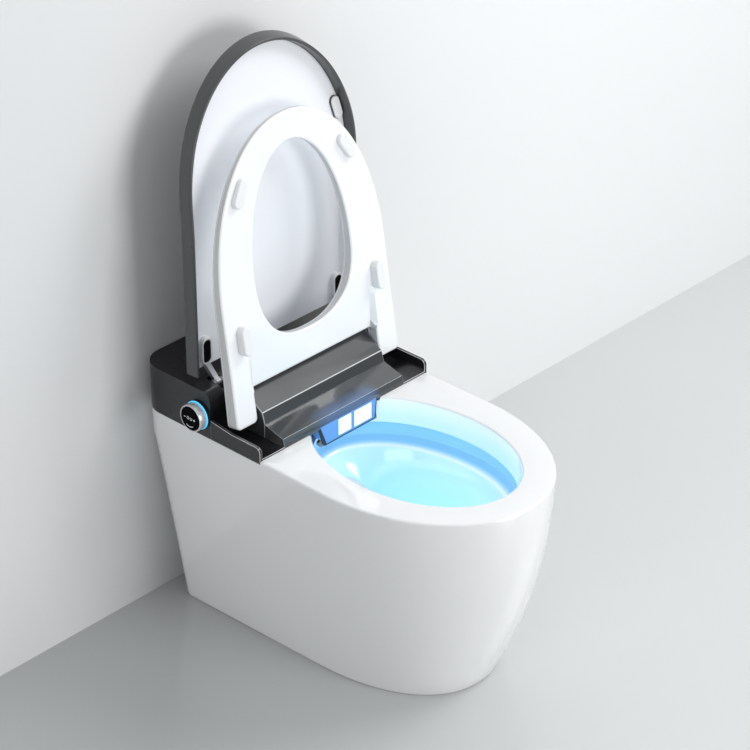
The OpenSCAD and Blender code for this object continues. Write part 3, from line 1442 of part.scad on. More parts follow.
ceramic_rim();
ceramic_left();
ceramic_right();
ceramic_bowl();
ceramic_sump();
ceramic_trap();
ceramic_box();
outlet_seal();
deck_gasket();
chassis_plate();
works_tray();
cover_bolts();
rear_cover();
side_wells();
hinge_cover();
front_panel();
nozzle_housing();
nozzle_gasket();
night_light();
seat_base();
seat_top();
seat_heater();
seat_buffers_rear();
seat_buffers_front();
seat_shafts();
seat_drive();
seat_damper();
seat_bushes();
lid_shell();
lid_liner();
lid_sockets();
lid_arms();
lid_pins();
lid_bumpers();
lid_hinge_blocks();
knob_mount();
knob_switch();
knob_glow_ring();
knob_stem();
knob_ring();
knob_face();
wand_tube();
wand_cap();
wand_rack();
wand_guide();
wand_pinion();
wand_motor();
dryer_flap();
dryer_duct();
dryer_heater();
blower_housing();
blower_wheel();
blower_motor();
pump_housing();
pump_impeller();
pump_motor();
inlet_valve();
water_heater();
supply_pipe();
wash_hose();
power_supply();
board_frame();
control_board();
cord_gland();
cover_screws();
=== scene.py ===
# %% [markdown]
# # A smart toilet with its seat and lid raised
# The object is a one-piece toilet: a glazed ceramic body with a skirt and an open bowl, a glossy dark cover
# across its back, a lit nozzle panel that looks into the bowl, a white seat ring and a dark rimmed lid.
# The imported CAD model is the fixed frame. Every surface that the eye meets is rebuilt here as a smooth mesh
# in the same place, and the plain CAD solids of hidden works keep their shape and get a finish.

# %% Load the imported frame
import json

import bmesh
import bpy
import numpy as np
from mathutils import Matrix, Vector
from mathutils.geometry import delaunay_2d_cdt


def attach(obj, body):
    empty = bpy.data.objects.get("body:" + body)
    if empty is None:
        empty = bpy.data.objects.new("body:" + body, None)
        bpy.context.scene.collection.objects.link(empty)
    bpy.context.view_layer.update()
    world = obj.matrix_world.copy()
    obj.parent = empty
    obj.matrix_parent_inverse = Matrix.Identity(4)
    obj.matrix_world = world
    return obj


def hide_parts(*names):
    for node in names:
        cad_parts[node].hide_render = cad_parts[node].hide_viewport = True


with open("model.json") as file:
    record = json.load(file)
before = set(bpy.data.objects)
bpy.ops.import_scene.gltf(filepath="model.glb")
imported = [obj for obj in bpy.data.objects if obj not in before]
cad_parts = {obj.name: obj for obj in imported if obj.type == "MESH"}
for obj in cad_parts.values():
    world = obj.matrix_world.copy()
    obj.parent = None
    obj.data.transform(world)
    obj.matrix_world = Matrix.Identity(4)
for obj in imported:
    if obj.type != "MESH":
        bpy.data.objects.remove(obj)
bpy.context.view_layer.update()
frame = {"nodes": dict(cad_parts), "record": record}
nodes = frame["nodes"]

# %% [markdown]
# ## The camera
# The photograph is a high three-quarter view with a long lens. The camera's place and its three directions
# were fitted to the floor line, the rim and the seat, so the render has the photograph's own framing.

# %% Camera
MM = 0.001


def placed(name, data):
    """A new object in the scene, made from a mesh, a light or a camera."""
    made = bpy.data.objects.new(name, data)
    bpy.context.scene.collection.objects.link(made)
    return made


camera_place = Vector((-2.949, -2.7855, 2.858))
camera_right = Vector((0.6859, -0.7277, 0.0)).normalized()
camera_back = Vector((-0.6288, -0.5927, 0.5033)).normalized()
camera_up = camera_back.cross(camera_right).normalized()
camera_data = bpy.data.cameras.new("camera")
camera_data.sensor_width = 36.0
camera_data.lens = 138.06
camera_data.clip_end = 60.0
camera = placed("camera", camera_data)
turn = Matrix((camera_right, camera_up, camera_back)).transposed().to_4x4()
camera.matrix_world = Matrix.Translation(camera_place) @ turn
bpy.context.scene.camera = camera
print("lens in mm:", camera_data.lens)

# %% [markdown]
# ## Light
# The light is a plain studio's. A soft key light high on the right and a light before the front give the
# white sheen, a light overhead fills the bowl, and a weak one keeps the left side of the skirt grey.

# %% Lights
def area_light(name, place, target, size, power):
    """A square soft light at place that faces target."""
    data = bpy.data.lights.new(name, "AREA")
    data.shape = "SQUARE"
    data.size = size
    data.energy = power
    light = placed(name, data)
    light.location = place
    light.rotation_euler = (Vector(target) - Vector(place)).to_track_quat("-Z", "Y").to_euler()


area_light("key_light", (2.3, -1.5, 3.0), (0.0, 0.0, 0.3), 1.8, 60.0)
area_light("top_light", (-0.2, -1.0, 3.2), (0.0, -0.1, 0.0), 2.2, 9.0)
area_light("front_light", (0.6, -3.6, 1.2), (0.0, 0.0, 0.4), 1.6, 57.0)
area_light("left_fill", (-3.0, -1.0, 1.6), (0.0, 0.0, 0.4), 1.6, 18.0)
world = bpy.data.worlds.new("studio")
bpy.context.scene.world = world
world.use_nodes = True
world.node_tree.nodes["Background"].inputs["Color"].default_value = (0.90, 0.94, 0.98, 1)
world.node_tree.nodes["Background"].inputs["Strength"].default_value = 0.28
bpy.context.scene.view_settings.view_transform = "Standard"
print("lights:", [light.name for light in bpy.data.lights])

# %% [markdown]
# ## Floor and wall
# The room is a pale glossy floor and a pale wall close behind the toilet. A painted shade darkens both
# towards the far left corner, away from the lights. A material is a tree of nodes, so a few short helpers
# come
# first: they place a node, link two, make a smooth step and mix two colours.

# %% Node helpers
SHADER = "Principled BSDF"


def tune(node, **values):
    """Sets a node's sockets by name, with underscores for spaces."""
    for label, value in values.items():
        node.inputs[label.replace("_", " ")].default_value = value
    return node


def put(tree, kind, **values):
    """A new shader node with its own values."""
    return tune(tree.nodes.new("ShaderNode" + kind), **values)


def join(tree, a, a_socket, b, b_socket):
    """Links an output to an input, each given by name or number."""
    tree.links.new(a.outputs[a_socket], b.inputs[b_socket])


def smooth_step(tree, source, socket, low, high):
    """A smooth step of a value: 0 up to low, 1 from high on, and level at both ends."""
    step = put(tree, "MapRange", From_Min=low, From_Max=high)
    step.interpolation_type = "SMOOTHSTEP"
    join(tree, source, socket, step, "Value")
    return step


def blended(tree, factor, below, above):
    """The colour socket of a mix: below at factor 0, above at 1. Each is three numbers or a colour socket."""
    mix = put(tree, "Mix")
    mix.data_type = "RGBA"
    join(tree, factor, 0, mix, "Factor")
    for socket, value in zip([s for s in mix.inputs if s.type == "RGBA"], (below, above)):
        if isinstance(value, tuple):
            socket.default_value = (*value, 1)
        else:
            tree.links.new(value, socket)
    return [s for s in mix.outputs if s.type == "RGBA"][0]


def plain_material(name, colour, metallic=0.0, coat=0.0, ior=1.5, emission=None, glow=0.0):
    """A material whose even values sit on the shader itself."""
    mat = bpy.data.materials.new(name)
    mat.use_nodes = True
    shader = tune(mat.node_tree.nodes[SHADER], Base_Color=(*colour, 1), Metallic=metallic, Coat_Weight=coat,
                  Coat_Roughness=0.03, IOR=ior)
    if emission:
        tune(shader, Emission_Color=(*emission, 1), Emission_Strength=glow)
    return mat


print("helpers ready for", SHADER)

# %% Floor and wall
WALL_Y = 349.5 * MM
ROOM, ROOM_H = 6.0, 4.0
PAINTED_SHADE_FROM, PAINTED_SHADE_TO = -0.55, 0.45


def stage_material(name, colour, rough, coat, side):
    """Paint with a gloss that varies by two percent, and a painted shade: its colour is multiplied by side in
    the far left corner and rises to the plain colour at the near right, by the distance along a line across
    the room.
    From behind it is clear, so that a view from behind the wall still shows the toilet."""
    mat = plain_material(name, colour, coat=coat)
    tree = mat.node_tree
    shader = tune(tree.nodes[SHADER], Coat_Roughness=0.12)
    place = put(tree, "TexCoord")
    across = put(tree, "VectorMath")
    across.operation = "DOT_PRODUCT"
    across.inputs[1].default_value = (0.7, -0.7, 0.0)
    join(tree, place, "Object", across, 0)
    # Painted shade: the colour darkens towards the far left corner.
    fade = smooth_step(tree, across, "Value", PAINTED_SHADE_FROM, PAINTED_SHADE_TO)
    tree.links.new(blended(tree, fade, tuple(c * side for c in colour), colour), shader.inputs["Base Color"])
    noise = put(tree, "TexNoise", Scale=2.0)
    spread = put(tree, "MapRange", To_Min=rough * 0.98, To_Max=rough * 1.02)
    join(tree, place, "Object", noise, "Vector")
    join(tree, noise, "Fac", spread, "Value")
    join(tree, spread, 0, shader, "Roughness")
    either = put(tree, "MixShader")
    join(tree, put(tree, "NewGeometry"), "Backfacing", either, "Fac")
    join(tree, shader, "BSDF", either, 1)
    join(tree, put(tree, "BsdfTransparent"), "BSDF", either, 2)
    join(tree, either, "Shader", tree.nodes["Material Output"], "Surface")
    return mat


def flat_stage(name, corners, material):
    """A flat quad through four corners with one material."""
    mesh = bpy.data.meshes.new(name)
    mesh.from_pydata(corners, [], [(0, 1, 2, 3)])
    mesh.materials.append(material)
    piece = placed(name, mesh)


# The last number of each stage material is its painted shade's share of the colour in the far left corner.
flat_stage("floor", [(-ROOM, -ROOM, 0), (ROOM, -ROOM, 0), (ROOM, WALL_Y, 0), (-ROOM, WALL_Y, 0)],
           stage_material("glossy_floor", (0.66, 0.675, 0.67), 0.28, 0.5, 0.68))
flat_stage("wall", [(-ROOM, WALL_Y, 0), (ROOM, WALL_Y, 0), (ROOM, WALL_Y, ROOM_H), (-ROOM, WALL_Y, ROOM_H)],
           stage_material("painted_wall", (0.87, 0.88, 0.885), 0.6, 0.0, 0.90))
print("room half width and height:", ROOM, ROOM_H)

# %% [markdown]
# ## Finishes
# Three effects are shared, so each is a node group: a fine surface that varies gloss and adds a faint
# unevenness, a brushed grain drawn out along one direction, and a step that rises with height, for the
# night light that is painted on the bowl.

# %% Node groups
def new_group(name, inputs, outputs):
    """A shader node group of plain numbers: inputs is {name: default} and outputs is a tuple of names."""
    group = bpy.data.node_groups.new(name, "ShaderNodeTree")
    for label, value in inputs.items():
        socket = group.interface.new_socket(name=label, in_out="INPUT", socket_type="NodeSocketFloat")
        socket.default_value = value
    for label in outputs:
        group.interface.new_socket(name=label, in_out="OUTPUT", socket_type="NodeSocketFloat")
    return group, group.nodes.new("NodeGroupInput"), group.nodes.new("NodeGroupOutput")


def scaled_noise(group, source, scale_label, stretch=(1, 1, 1), detail=3.0):
    """Noise on Object coordinates, with its scale taken from a group input."""
    mapping = put(group, "Mapping", Scale=stretch)
    noise = put(group, "TexNoise", Detail=detail)
    join(group, put(group, "TexCoord"), "Object", mapping, "Vector")
    join(group, mapping, 0, noise, "Vector")
    join(group, source, scale_label, noise, "Scale")
    return noise


def gloss_range(group, noise, source, target):
    """Carries the noise from its 0 to 1 to the group's Rough Low to Rough High."""
    spread = put(group, "MapRange")
    join(group, noise, "Fac", spread, "Value")
    join(group, source, "Rough Low", spread, "To Min")
    join(group, source, "Rough High", spread, "To Max")
    join(group, spread, 0, target, "Roughness")


def fine_surface_group():
    """Slow gloss variation and a fine height, as on glaze and moulded plastic."""
    group, source, target = new_group(
        "fine_surface",
        {"Wave Scale": 6.0, "Grain Scale": 300.0, "Rough Low": 0.1, "Rough High": 0.15, "Grain Share": 0.3},
        ("Roughness", "Height"))
    wave = scaled_noise(group, source, "Wave Scale")
    grain = scaled_noise(group, source, "Grain Scale", detail=5.0)
    gloss_range(group, wave, source, target)
    mix = put(group, "Mix")
    join(group, source, "Grain Share", mix, "Factor")
    join(group, wave, "Fac", mix, "A")
    join(group, grain, "Fac", mix, "B")
    join(group, mix, 0, target, "Height")
    return group


def brushed_group():
    """Grain stretched along X, as on turned or brushed metal."""
    group, source, target = new_group(
        "brushed_grain", {"Grain Scale": 60.0, "Rough Low": 0.25, "Rough High": 0.4}, ("Roughness", "Height"))
    grain = scaled_noise(group, source, "Grain Scale", stretch=(0.6, 18, 18), detail=6.0)
    gloss_range(group, grain, source, target)
    join(group, grain, "Fac", target, "Height")
    return group


def height_fade_group():
    """A smooth step by Object height in metres: 0 below Low and 1 above High."""
    group, source, target = new_group("height_fade", {"Low": 0.0, "High": 1.0}, ("Fac",))
    split = put(group, "SeparateXYZ")
    join(group, put(group, "TexCoord"), "Object", split, 0)
    fade = smooth_step(group, split, "Z", 0.0, 1.0)
    join(group, source, "Low", fade, "From Min")
    join(group, source, "High", fade, "From Max")
    join(group, fade, 0, target, "Fac")
    return group


fine_surface = fine_surface_group()
brushed_grain = brushed_group()
height_fade = height_fade_group()
print("node groups:", [g.name for g in bpy.data.node_groups])

# %% Finish builders
def place_group(tree, group, **values):
    """A shared node group placed in a material with its own values."""
    made = put(tree, "Group")
    made.node_tree = group
    return tune(made, **values)


def surface(mat, group, height, distance=0.0004, **values):
    """Feeds roughness and a bump of that height from a shared group into a material."""
    tree = mat.node_tree
    shader = tree.nodes[SHADER]
    detail = place_group(tree, group, **values)
    bump = put(tree, "Bump", Strength=height, Distance=distance)
    join(tree, detail, "Roughness", shader, "Roughness")
    join(tree, detail, "Height", bump, "Height")
    join(tree, bump, "Normal", shader, "Normal")


def moulded(name, colour, rough, coat=0.0, grain=300.0, height=0.15, **more):
    """Moulded or glazed matter: even colour, slow gloss change, fine grain."""
    mat = plain_material(name, colour, coat=coat, **more)
    surface(mat, fine_surface, height, Wave_Scale=9.0, Grain_Scale=grain, Rough_Low=rough * 0.75,
            Rough_High=rough * 1.3, Grain_Share=0.4)
    return mat


def metal(name, colour, rough, height=0.1):
    """Brushed or turned metal."""
    mat = plain_material(name, colour, metallic=1.0)
    surface(mat, brushed_grain, height, 0.0002, Rough_Low=rough * 0.7, Rough_High=rough * 1.4)
    return mat


finish = {
    "ceramic": moulded("glazed_ceramic", (0.90, 0.905, 0.91), 0.12, coat=0.6, grain=60.0, height=0.04),
    "rubber_black": moulded("black_rubber", (0.03, 0.03, 0.032), 0.6, grain=500.0),
    "gloss_black": moulded("dark_gloss_cover", (0.010, 0.010, 0.012), 0.28, coat=0.2, grain=220.0,
                           height=0.05),
    "charcoal_gloss": moulded("hinge_gloss", (0.046, 0.049, 0.052), 0.30, coat=0.08, grain=220.0, height=0.05,
                              ior=1.38),
    "tray_plastic": moulded("tray_plastic", (0.06, 0.06, 0.065), 0.5, grain=420.0, height=0.3),
    "steel": metal("brushed_steel", (0.55, 0.55, 0.56), 0.32),
    "bronze": metal("bearing_bronze", (0.62, 0.45, 0.25), 0.35),
    "chrome": metal("chrome", (0.85, 0.86, 0.88), 0.08, 0.02),
    "satin_metal": moulded("satin_aluminium", (0.74, 0.75, 0.76), 0.3, metallic=0.45, grain=900.0),
    "hinge_metal": metal("dark_hinge_metal", (0.25, 0.25, 0.26), 0.4),
    "lit_panel": moulded("lit_blue_panel", (0.10, 0.24, 0.52), 0.3, coat=0.4,
                         emission=(0.07, 0.22, 0.62), glow=0.42),
    "lit_window": moulded("lit_window", (0.8, 0.9, 0.93), 0.3, coat=0.3, emission=(0.82, 0.95, 1.0),
                          glow=0.42),
    "night_light": moulded("night_light", (0.6, 0.9, 1.0), 0.4, emission=(0.1, 0.4, 0.8), glow=0.4),
    "glow_ring": moulded("glow_ring", (0.1, 0.5, 0.75), 0.35, emission=(0.05, 0.48, 0.78), glow=1.1),
    # The white seat's faint glow is painted light.
    "seat_white": moulded("white_seat_painted_glow", (0.91, 0.92, 0.935), 0.18, coat=0.5, grain=120.0, height=0.04,
                          emission=(0.92, 0.96, 1.0), glow=0.04),
    "white_plastic": moulded("white_plastic", (0.8, 0.81, 0.82), 0.35, grain=350.0, height=0.2),
    "lid_grey": moulded("lid_satin_grey", (0.062, 0.066, 0.066), 0.3, coat=0.25, grain=500.0, height=0.08),
    "deep_black": moulded("deep_black", (0.006, 0.006, 0.007), 0.6, ior=1.05),
    "heater_foil": metal("heater_foil", (0.7, 0.7, 0.7), 0.4),
    "heater_metal": metal("heater_metal", (0.6, 0.6, 0.6), 0.4),
    "board": moulded("circuit_board", (0.02, 0.16, 0.07), 0.4, grain=700.0),
    "rubber_white": moulded("white_rubber", (0.86, 0.87, 0.885), 0.38, grain=600.0, height=0.2),
}
slot_of = {part["node"]: part["material_slot"] for part in frame["record"]["subparts"]}
for node_name, node_object in nodes.items():
    node_object.data.materials.clear()
    node_object.data.materials.append(finish[slot_of[node_name]])
print("finishes:", len(finish))

# %% [markdown]
# ## Tools for worked out surfaces
# Every new piece is a surface of two parameters held as whole numpy arrays. A stack of rings makes the
# ceramic, and a plate, which is a flat outline with rounded edges, makes the seat, the lid and the pads.
# Measures follow the CAD: millimetres behind the cover's front edge and above the rim.

# %% Frames and mesh builder
DECK_Y = 61.5
RIM_H = 392.0
HALF_L = 346.5
HALF_W = 200.0


def from_deck(p):
    """Deck coordinates in millimetres to metres in the part's frame: adds the deck's place and scales."""
    return (np.asarray(p, float) + np.array([0.0, DECK_Y, RIM_H])) * MM


def smooth(piece, angle):
    """Smooth shading, with edges sharper than angle in degrees kept crisp."""
    mesh = piece.data
    mesh.polygons.foreach_set("use_smooth", np.ones(len(mesh.polygons), bool))
    mesh.set_sharp_from_angle(angle=np.radians(angle))
    mesh.update()


def make_piece(name, points, faces, material, body, replaced, angle=35.0, slots=None):
    """A closed mesh piece: points in metres, doubles merged, faces turned outwards, smooth under angle."""
    mesh = bpy.data.meshes.new(name)
    mesh.from_pydata(points, [], faces)
    for entry in (material if isinstance(material, (list, tuple)) else [material]):
        mesh.materials.append(entry)
    if slots is not None:
        mesh.polygons.foreach_set("material_index", np.asarray(slots, np.int32))
    work = bmesh.new()
    work.from_mesh(mesh)
    bmesh.ops.remove_doubles(work, verts=work.verts, dist=1e-6)
    bmesh.ops.recalc_face_normals(work, faces=work.faces)
    work.to_mesh(mesh)
    work.free()
    piece = placed(name, mesh)
    smooth(piece, angle)
    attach(piece, body)
    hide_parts(*replaced)
    return piece


def strip_faces(rows, columns, first=0):
    """Quads between neighbouring rings of a grid that is closed round its columns."""
    r, c = np.meshgrid(np.arange(rows - 1), np.arange(columns), indexing="ij")
    a = first + r * columns + c
    b = first + r * columns + (c + 1) % columns
    return np.stack([a, b, b + columns, a + columns], axis=-1).reshape(-1, 4).tolist()


def closed_stack(rings):
    """Rings of equal length, closed at both ends with a pole at the mean of the end ring."""
    rows, columns = rings.shape[:2]
    points = np.concatenate([rings.reshape(-1, 3), rings[0].mean(0)[None], rings[-1].mean(0)[None]])
    faces = strip_faces(rows, columns)
    turn = (np.arange(columns) + 1) % columns
    low = rows * columns
    last = (rows - 1) * columns
    faces += np.stack([np.full(columns, low), turn, np.arange(columns)], -1).tolist()
    faces += np.stack([np.full(columns, low + 1), last + np.arange(columns), last + turn], -1).tolist()
    return points, faces


print("deck origin in metres:", from_deck((0, 0, 0)))

# %% Outlines
def arc(cx, cy, r, start, end, count):
    """Points on a circle from start to end in degrees."""
    a = np.radians(np.linspace(start, end, count))
    return np.stack([cx + r * np.cos(a), cy + r * np.sin(a)], -1)


def run(a, b, count):
    """Evenly spaced points strictly between a and b."""
    t = np.linspace(0, 1, count + 2)[1:-1, None]
    return np.asarray(a, float) * (1 - t) + np.asarray(b, float) * t


def superquarter(a, b, n, count):
    """A quarter of a superellipse from the side to the tip: (x / a) to the n plus (y / b) to the n is one."""
    t = np.radians(np.linspace(0, 90, count))
    return np.stack([a * np.abs(np.cos(t)) ** (2 / n), b * np.abs(np.sin(t)) ** (2 / n)], -1)


def mirrored(half):
    """A half outline from the middle line to the middle line, closed by its mirror image."""
    return np.concatenate([half, half[1:-1][::-1] * np.array([-1.0, 1.0])])


def signed_area(loop):
    """Half the sum of cross products of neighbours: positive when the loop runs anticlockwise."""
    x, y = loop.T
    return 0.5 * np.sum(x * np.roll(y, -1) - y * np.roll(x, -1))


def inward(loop, side=1.0):
    """Unit normals at each point: the mean direction of its two edges, turned a quarter to the matter."""
    ahead = np.roll(loop, -1, 0) - loop
    ahead /= np.linalg.norm(ahead, axis=1, keepdims=True)
    mean = ahead + np.roll(ahead, 1, 0)
    mean /= np.linalg.norm(mean, axis=1, keepdims=True)
    return np.stack([-mean[:, 1], mean[:, 0]], -1) * np.sign(signed_area(loop)) * side


def inside(points, loop):
    """Whether each point is inside the loop: an odd number of edges crosses a line to its right."""
    x, y = points[:, None, 0], points[:, None, 1]
    x0, y0 = loop.T
    x1, y1 = np.roll(loop, -1, 0).T
    crosses = (y0 > y) != (y1 > y)
    at = x0 + (y - y0) * (x1 - x0) / np.where(y1 == y0, 1e-9, y1 - y0)
    return (np.sum(crosses & (x < at), axis=1) % 2).astype(bool)


print("area of a round outline of radius 1:", signed_area(arc(0, 0, 1, 0, 355, 72)))

# %% Plates with rounded edges
def rounding(r, count=6):
    """A quarter round of radius r as (inset, depth) pairs, from the flat face out to the wall."""
    a = np.radians(np.linspace(0, 90, count))
    return [(r * (1 - np.sin(t)), r * (1 - np.cos(t))) for t in a]


def fill_cap(loops, insets, grid):
    """Triangles over a flat face between its loops, with a grid of inner points so that it can be curved."""
    edges, start = [], 0
    for loop in loops:
        n = len(loop)
        edges += [(start + i, start + (i + 1) % n) for i in range(n)]
        start += n
    outer = loops[0]
    low, high = outer.min(0), outer.max(0)
    gx, gy = np.meshgrid(np.arange(low[0], high[0], grid), np.arange(low[1], high[1], grid))
    inner = np.stack([gx.ravel(), gy.ravel()], -1)
    inner = inner[inside(inner, insets[0])]
    for loop in insets[1:]:
        inner = inner[~inside(inner, loop)]
    flat = np.concatenate([*loops, inner])
    out = delaunay_2d_cdt([Vector(p) for p in flat], edges, [], 0, 1e-5, True)
    back = np.array([ids[0] if ids else -1 for ids in out[3]])
    tris = back[np.array(out[2])]
    tris = tris[(tris >= 0).all(1)]
    middle = flat[tris].mean(1)
    keep = inside(middle, outer)
    for loop in loops[1:]:
        keep &= ~inside(middle, loop)
    return inner, tris[keep]


def plate(loops, low, high, low_edge, high_edge, place, grid=9.0, margin=2.0):
    """A closed plate: each loop gives a wall whose rows follow the edge roundings between the surfaces
    low(x, s) and high(x, s), and both faces are filled. place turns (x, s, depth) into metres."""
    points, faces, start = [], [], 0
    caps = {"low": [], "high": []}
    for number, loop in enumerate(loops):
        side = inward(loop, 1.0 if number == 0 else -1.0)
        rows = [(low, e + margin, 0.0, 1) for e, d in low_edge[:1]]
        rows += [(low, e, d, 1) for e, d in low_edge]
        rows += [(high, e, d, -1) for e, d in high_edge[::-1]]
        rows += [(high, e + margin, 0.0, -1) for e, d in high_edge[:1]]
        for surface_at, inset, depth, sign in rows:
            flat = loop + side * inset
            points.append(np.column_stack([flat, surface_at(*flat.T) + sign * depth]))
        columns = len(loop)
        faces += strip_faces(len(rows), columns, start)
        for label, row in (("low", 0), ("high", len(rows) - 1)):
            caps[label].append((loop + side * rows[row][1], start + row * columns, side))
        start += len(rows) * columns
    for label, surface_at in (("low", low), ("high", high)):
        flat_loops = [entry[0] for entry in caps[label]]
        shrunk = [entry[0] + entry[2] * grid * 0.5 for entry in caps[label]]
        inner, tris = fill_cap(flat_loops, shrunk, grid)
        index = np.concatenate([entry[1] + np.arange(len(entry[0])) for entry in caps[label]]
                               + [start + np.arange(len(inner))])
        points.append(np.column_stack([inner, surface_at(*inner.T)]))
        faces += index[tris].tolist()
        start += len(inner)
    return place(np.concatenate(points)), faces


def level(value):
    """A flat surface at one depth."""
    return lambda x, s: np.full_like(x, value)


def merged(parts):
    """Several point and face lists as one, with the faces of each counted on from the part before it."""
    starts = np.cumsum([0] + [len(p) for p, f in parts])
    faces = [[i + k for i in face] for k, (p, f) in zip(starts, parts) for face in f]
    return np.concatenate([p for p, f in parts]), faces


print("a rounding of 1 mm as (inset, depth):", rounding(1.0, 3))

# %% [markdown]
# ## The ceramic
# The body is slip cast in one piece and glazed. Here it is one closed skin: it starts at the sump, climbs
# the pan, turns under the flush channel, goes over the rim, down the drawn-in skirt, round the foot and up
# inside again. One ring of points runs at each level, so the whole body is a single smooth grid. The holes
# for the works are cut afterwards with exact Booleans, as a potter cuts them before firing.

# %% Body rings
COLUMNS = 256
TIP_DRAW, TIP_POWER = 101.0, 2.05
SIDE_DRAW, SIDE_POWER = 43.0, 1.1
BACK_DRAW, BACK_FROM, BACK_POWER = 46.0, 335.0, 0.85
CORNER_TOP, CORNER_FOOT, CORNER_LEAST = 45.0, 12.0, 2.0
WAIST_Y, WAIST_BACK, WAIST_IN = -78.5, 80.0, 7.0
FRONT_N, FRONT_N_FOOT = 2.04, 2.20
BOWL_WAIST_Y = -165.0


def resample(loop, count):
    """Points spaced evenly by length round a closed loop, starting at its first point."""
    closed = np.concatenate([loop, loop[:1]])
    step = np.r_[0, np.cumsum(np.linalg.norm(np.diff(closed, axis=0), axis=1))]
    at = np.linspace(0, step[-1], count, endpoint=False)
    return np.stack([np.interp(at, step, closed[:, k]) for k in range(2)], -1)


def body_outline(z, inset):
    """The body seen from above at height z: a straight back, two rear corners, sides and ends drawn in by
    powers of the drop from the rim, and a superellipse front."""
    down = 1 - np.clip(z, 0, RIM_H) / RIM_H
    tip = -HALF_L + TIP_DRAW * down ** TIP_POWER + inset
    w = HALF_W - SIDE_DRAW * down ** SIDE_POWER - inset
    back = HALF_L - BACK_DRAW * max(0.0, 1 - z / BACK_FROM) ** BACK_POWER - inset
    r = max(CORNER_TOP + (CORNER_FOOT - CORNER_TOP) * down - inset, CORNER_LEAST)
    waist = w - WAIST_IN * down
    middle = WAIST_Y + WAIST_BACK * down
    front = superquarter(waist, middle - tip, FRONT_N + (FRONT_N_FOOT - FRONT_N) * down, 200)
    half = np.concatenate([[[0, back]], run((0, back), (w - r, back), 60), arc(w - r, back - r, r, 90, 0, 60),
                           run((w, back - r), (waist, middle), 120),
                           np.stack([front[:, 0], middle - front[:, 1]], -1)])
    return resample(mirrored(half), COLUMNS)


def ring_at(flat, z):
    """A flat outline lifted to height z."""
    return np.column_stack([flat, np.full(len(flat), z)])


def bowl_ring(depth, half, front, back, grow=0.0):
    """One level of the bowl: half an ellipse to its front end and half to its back end, both grown outwards
    by grow for the outside of the bowl's shell."""
    rear = superquarter(half + grow, back + grow - BOWL_WAIST_Y, 2.0, 300)[::-1]
    fore = superquarter(half + grow, BOWL_WAIST_Y - front + grow, 2.0, 300)
    loop = np.concatenate([np.stack([rear[:, 0], BOWL_WAIST_Y + rear[:, 1]], -1),
                           np.stack([fore[1:, 0], BOWL_WAIST_Y - fore[1:, 1]], -1)])
    return ring_at(resample(mirrored(loop), COLUMNS) + np.array([0.0, DECK_Y]), RIM_H - depth)


print("body length at the foot:", np.ptp(body_outline(0.0, 0.0)[:, 1]))

# %% Bowl, rim, skirt and foot levels
BOWL_HALF, BOWL_TIP, BOWL_BACK = 137.0, -354.0, 42.0
EDGE_OUT, EDGE_DOWN = 3.6, 4.8
WALL_FROM, WALL_DOWN, WALL_POWER = 5.0, 36.0, 1.5
LEDGE_Z, SUMP_Z, SUMP_Y = 80.0, 312.0, -118.0
PAN_TOP, PAN_FLOOR = np.array([121.0, -334.0, 26.0]), np.array([30.0, -148.0, -88.0])
PAN_POWER, PAN_END = 0.86, 0.93
CHANNEL_OUT, SHELL_T, SKIRT_T, RIM_R = 9.0, 12.0, 14.0, 4.5


def pan_level(t):
    """The pan at a share t of its depth: its half width and its two ends go from the ledge's to the floor's
    with a power of t."""
    top = LEDGE_Z + 8
    return top + (SUMP_Z - top) * t, *(PAN_TOP + (PAN_FLOOR - PAN_TOP) * t ** PAN_POWER)


edge_turn = np.radians(np.linspace(0, 90, 7))
bowl_levels = [(down, BOWL_HALF + out, BOWL_TIP - out, BOWL_BACK + out)
               for down, out in zip(EDGE_DOWN * (1 - np.cos(edge_turn)), EDGE_OUT * (1 - np.sin(edge_turn)))]
for t in np.linspace(0.15, 1, 8):
    k = t ** WALL_POWER
    bowl_levels.append((WALL_FROM + WALL_DOWN * t, BOWL_HALF - 5 * k, BOWL_TIP + 6 * k, BOWL_BACK - 4 * k))
# The lip, the flush channel behind it and the ledge below: depth, then how far the sides and ends move.
LIP = [(43.4, -5.0, 6.0, -4.0), (45.4, -4.4, 5.4, -3.4), (46.6, -2.6, 3.6, -1.6), (47.6, 0.5, 0.4, 1.2),
       (49.6, 4.2, -4.0, 4.2), (52.5, 7.2, -7.2, 7.2), (56.0, 8.8, -8.8, 8.8), (62.0, 9.0, -9.0, 9.0),
       (70.0, 9.0, -9.0, 9.0), (75.5, 7.4, -7.0, 7.4), (79.0, 2.6, -2.0, 2.6), (80.8, -4.0, 5.0, -4.0),
       (82.4, -10.0, 12.0, -10.0), (84.5, -13.6, 16.4, -13.6)]
bowl_levels += [(d, BOWL_HALF + a, BOWL_TIP + b, BOWL_BACK + c) for d, a, b, c in LIP]
bowl_levels += [pan_level(t) for t in np.linspace(0.0, PAN_END, 24)]
floor_z, floor_half, floor_front, floor_back = pan_level(PAN_END)
for a in np.radians(np.linspace(15, 80, 6)):
    k = np.cos(a)
    bowl_levels.append((floor_z + (SUMP_Z - floor_z) * np.sin(a), floor_half * k,
                        SUMP_Y + (floor_front - SUMP_Y) * k, SUMP_Y + (floor_back - SUMP_Y) * k))
skirt = [ring_at(body_outline(RIM_H - d, e), RIM_H - d) for e, d in rounding(RIM_R, 7)]
skirt += [ring_at(body_outline(z, 0.0), z) for z in np.linspace(380, 8, 60)]
foot_round = ((5, 0.1), (2.6, 0.5), (1.0, 1.3), (0.2, 2.3), (0.0, 3.2))
skirt += [ring_at(body_outline(z, e), z) for z, e in foot_round]
void = [ring_at(body_outline(z, SKIRT_T), z) for z in (0.0, 1.0, 60, 120, 180, 250, 310, 350, 368)]
shell = [bowl_ring(d, BOWL_HALF, BOWL_TIP, BOWL_BACK, CHANNEL_OUT + SHELL_T) for d in (24, LEDGE_Z)]
shell += [bowl_ring(*pan_level(t), SHELL_T) for t in np.linspace(0.1, 1, 12)]
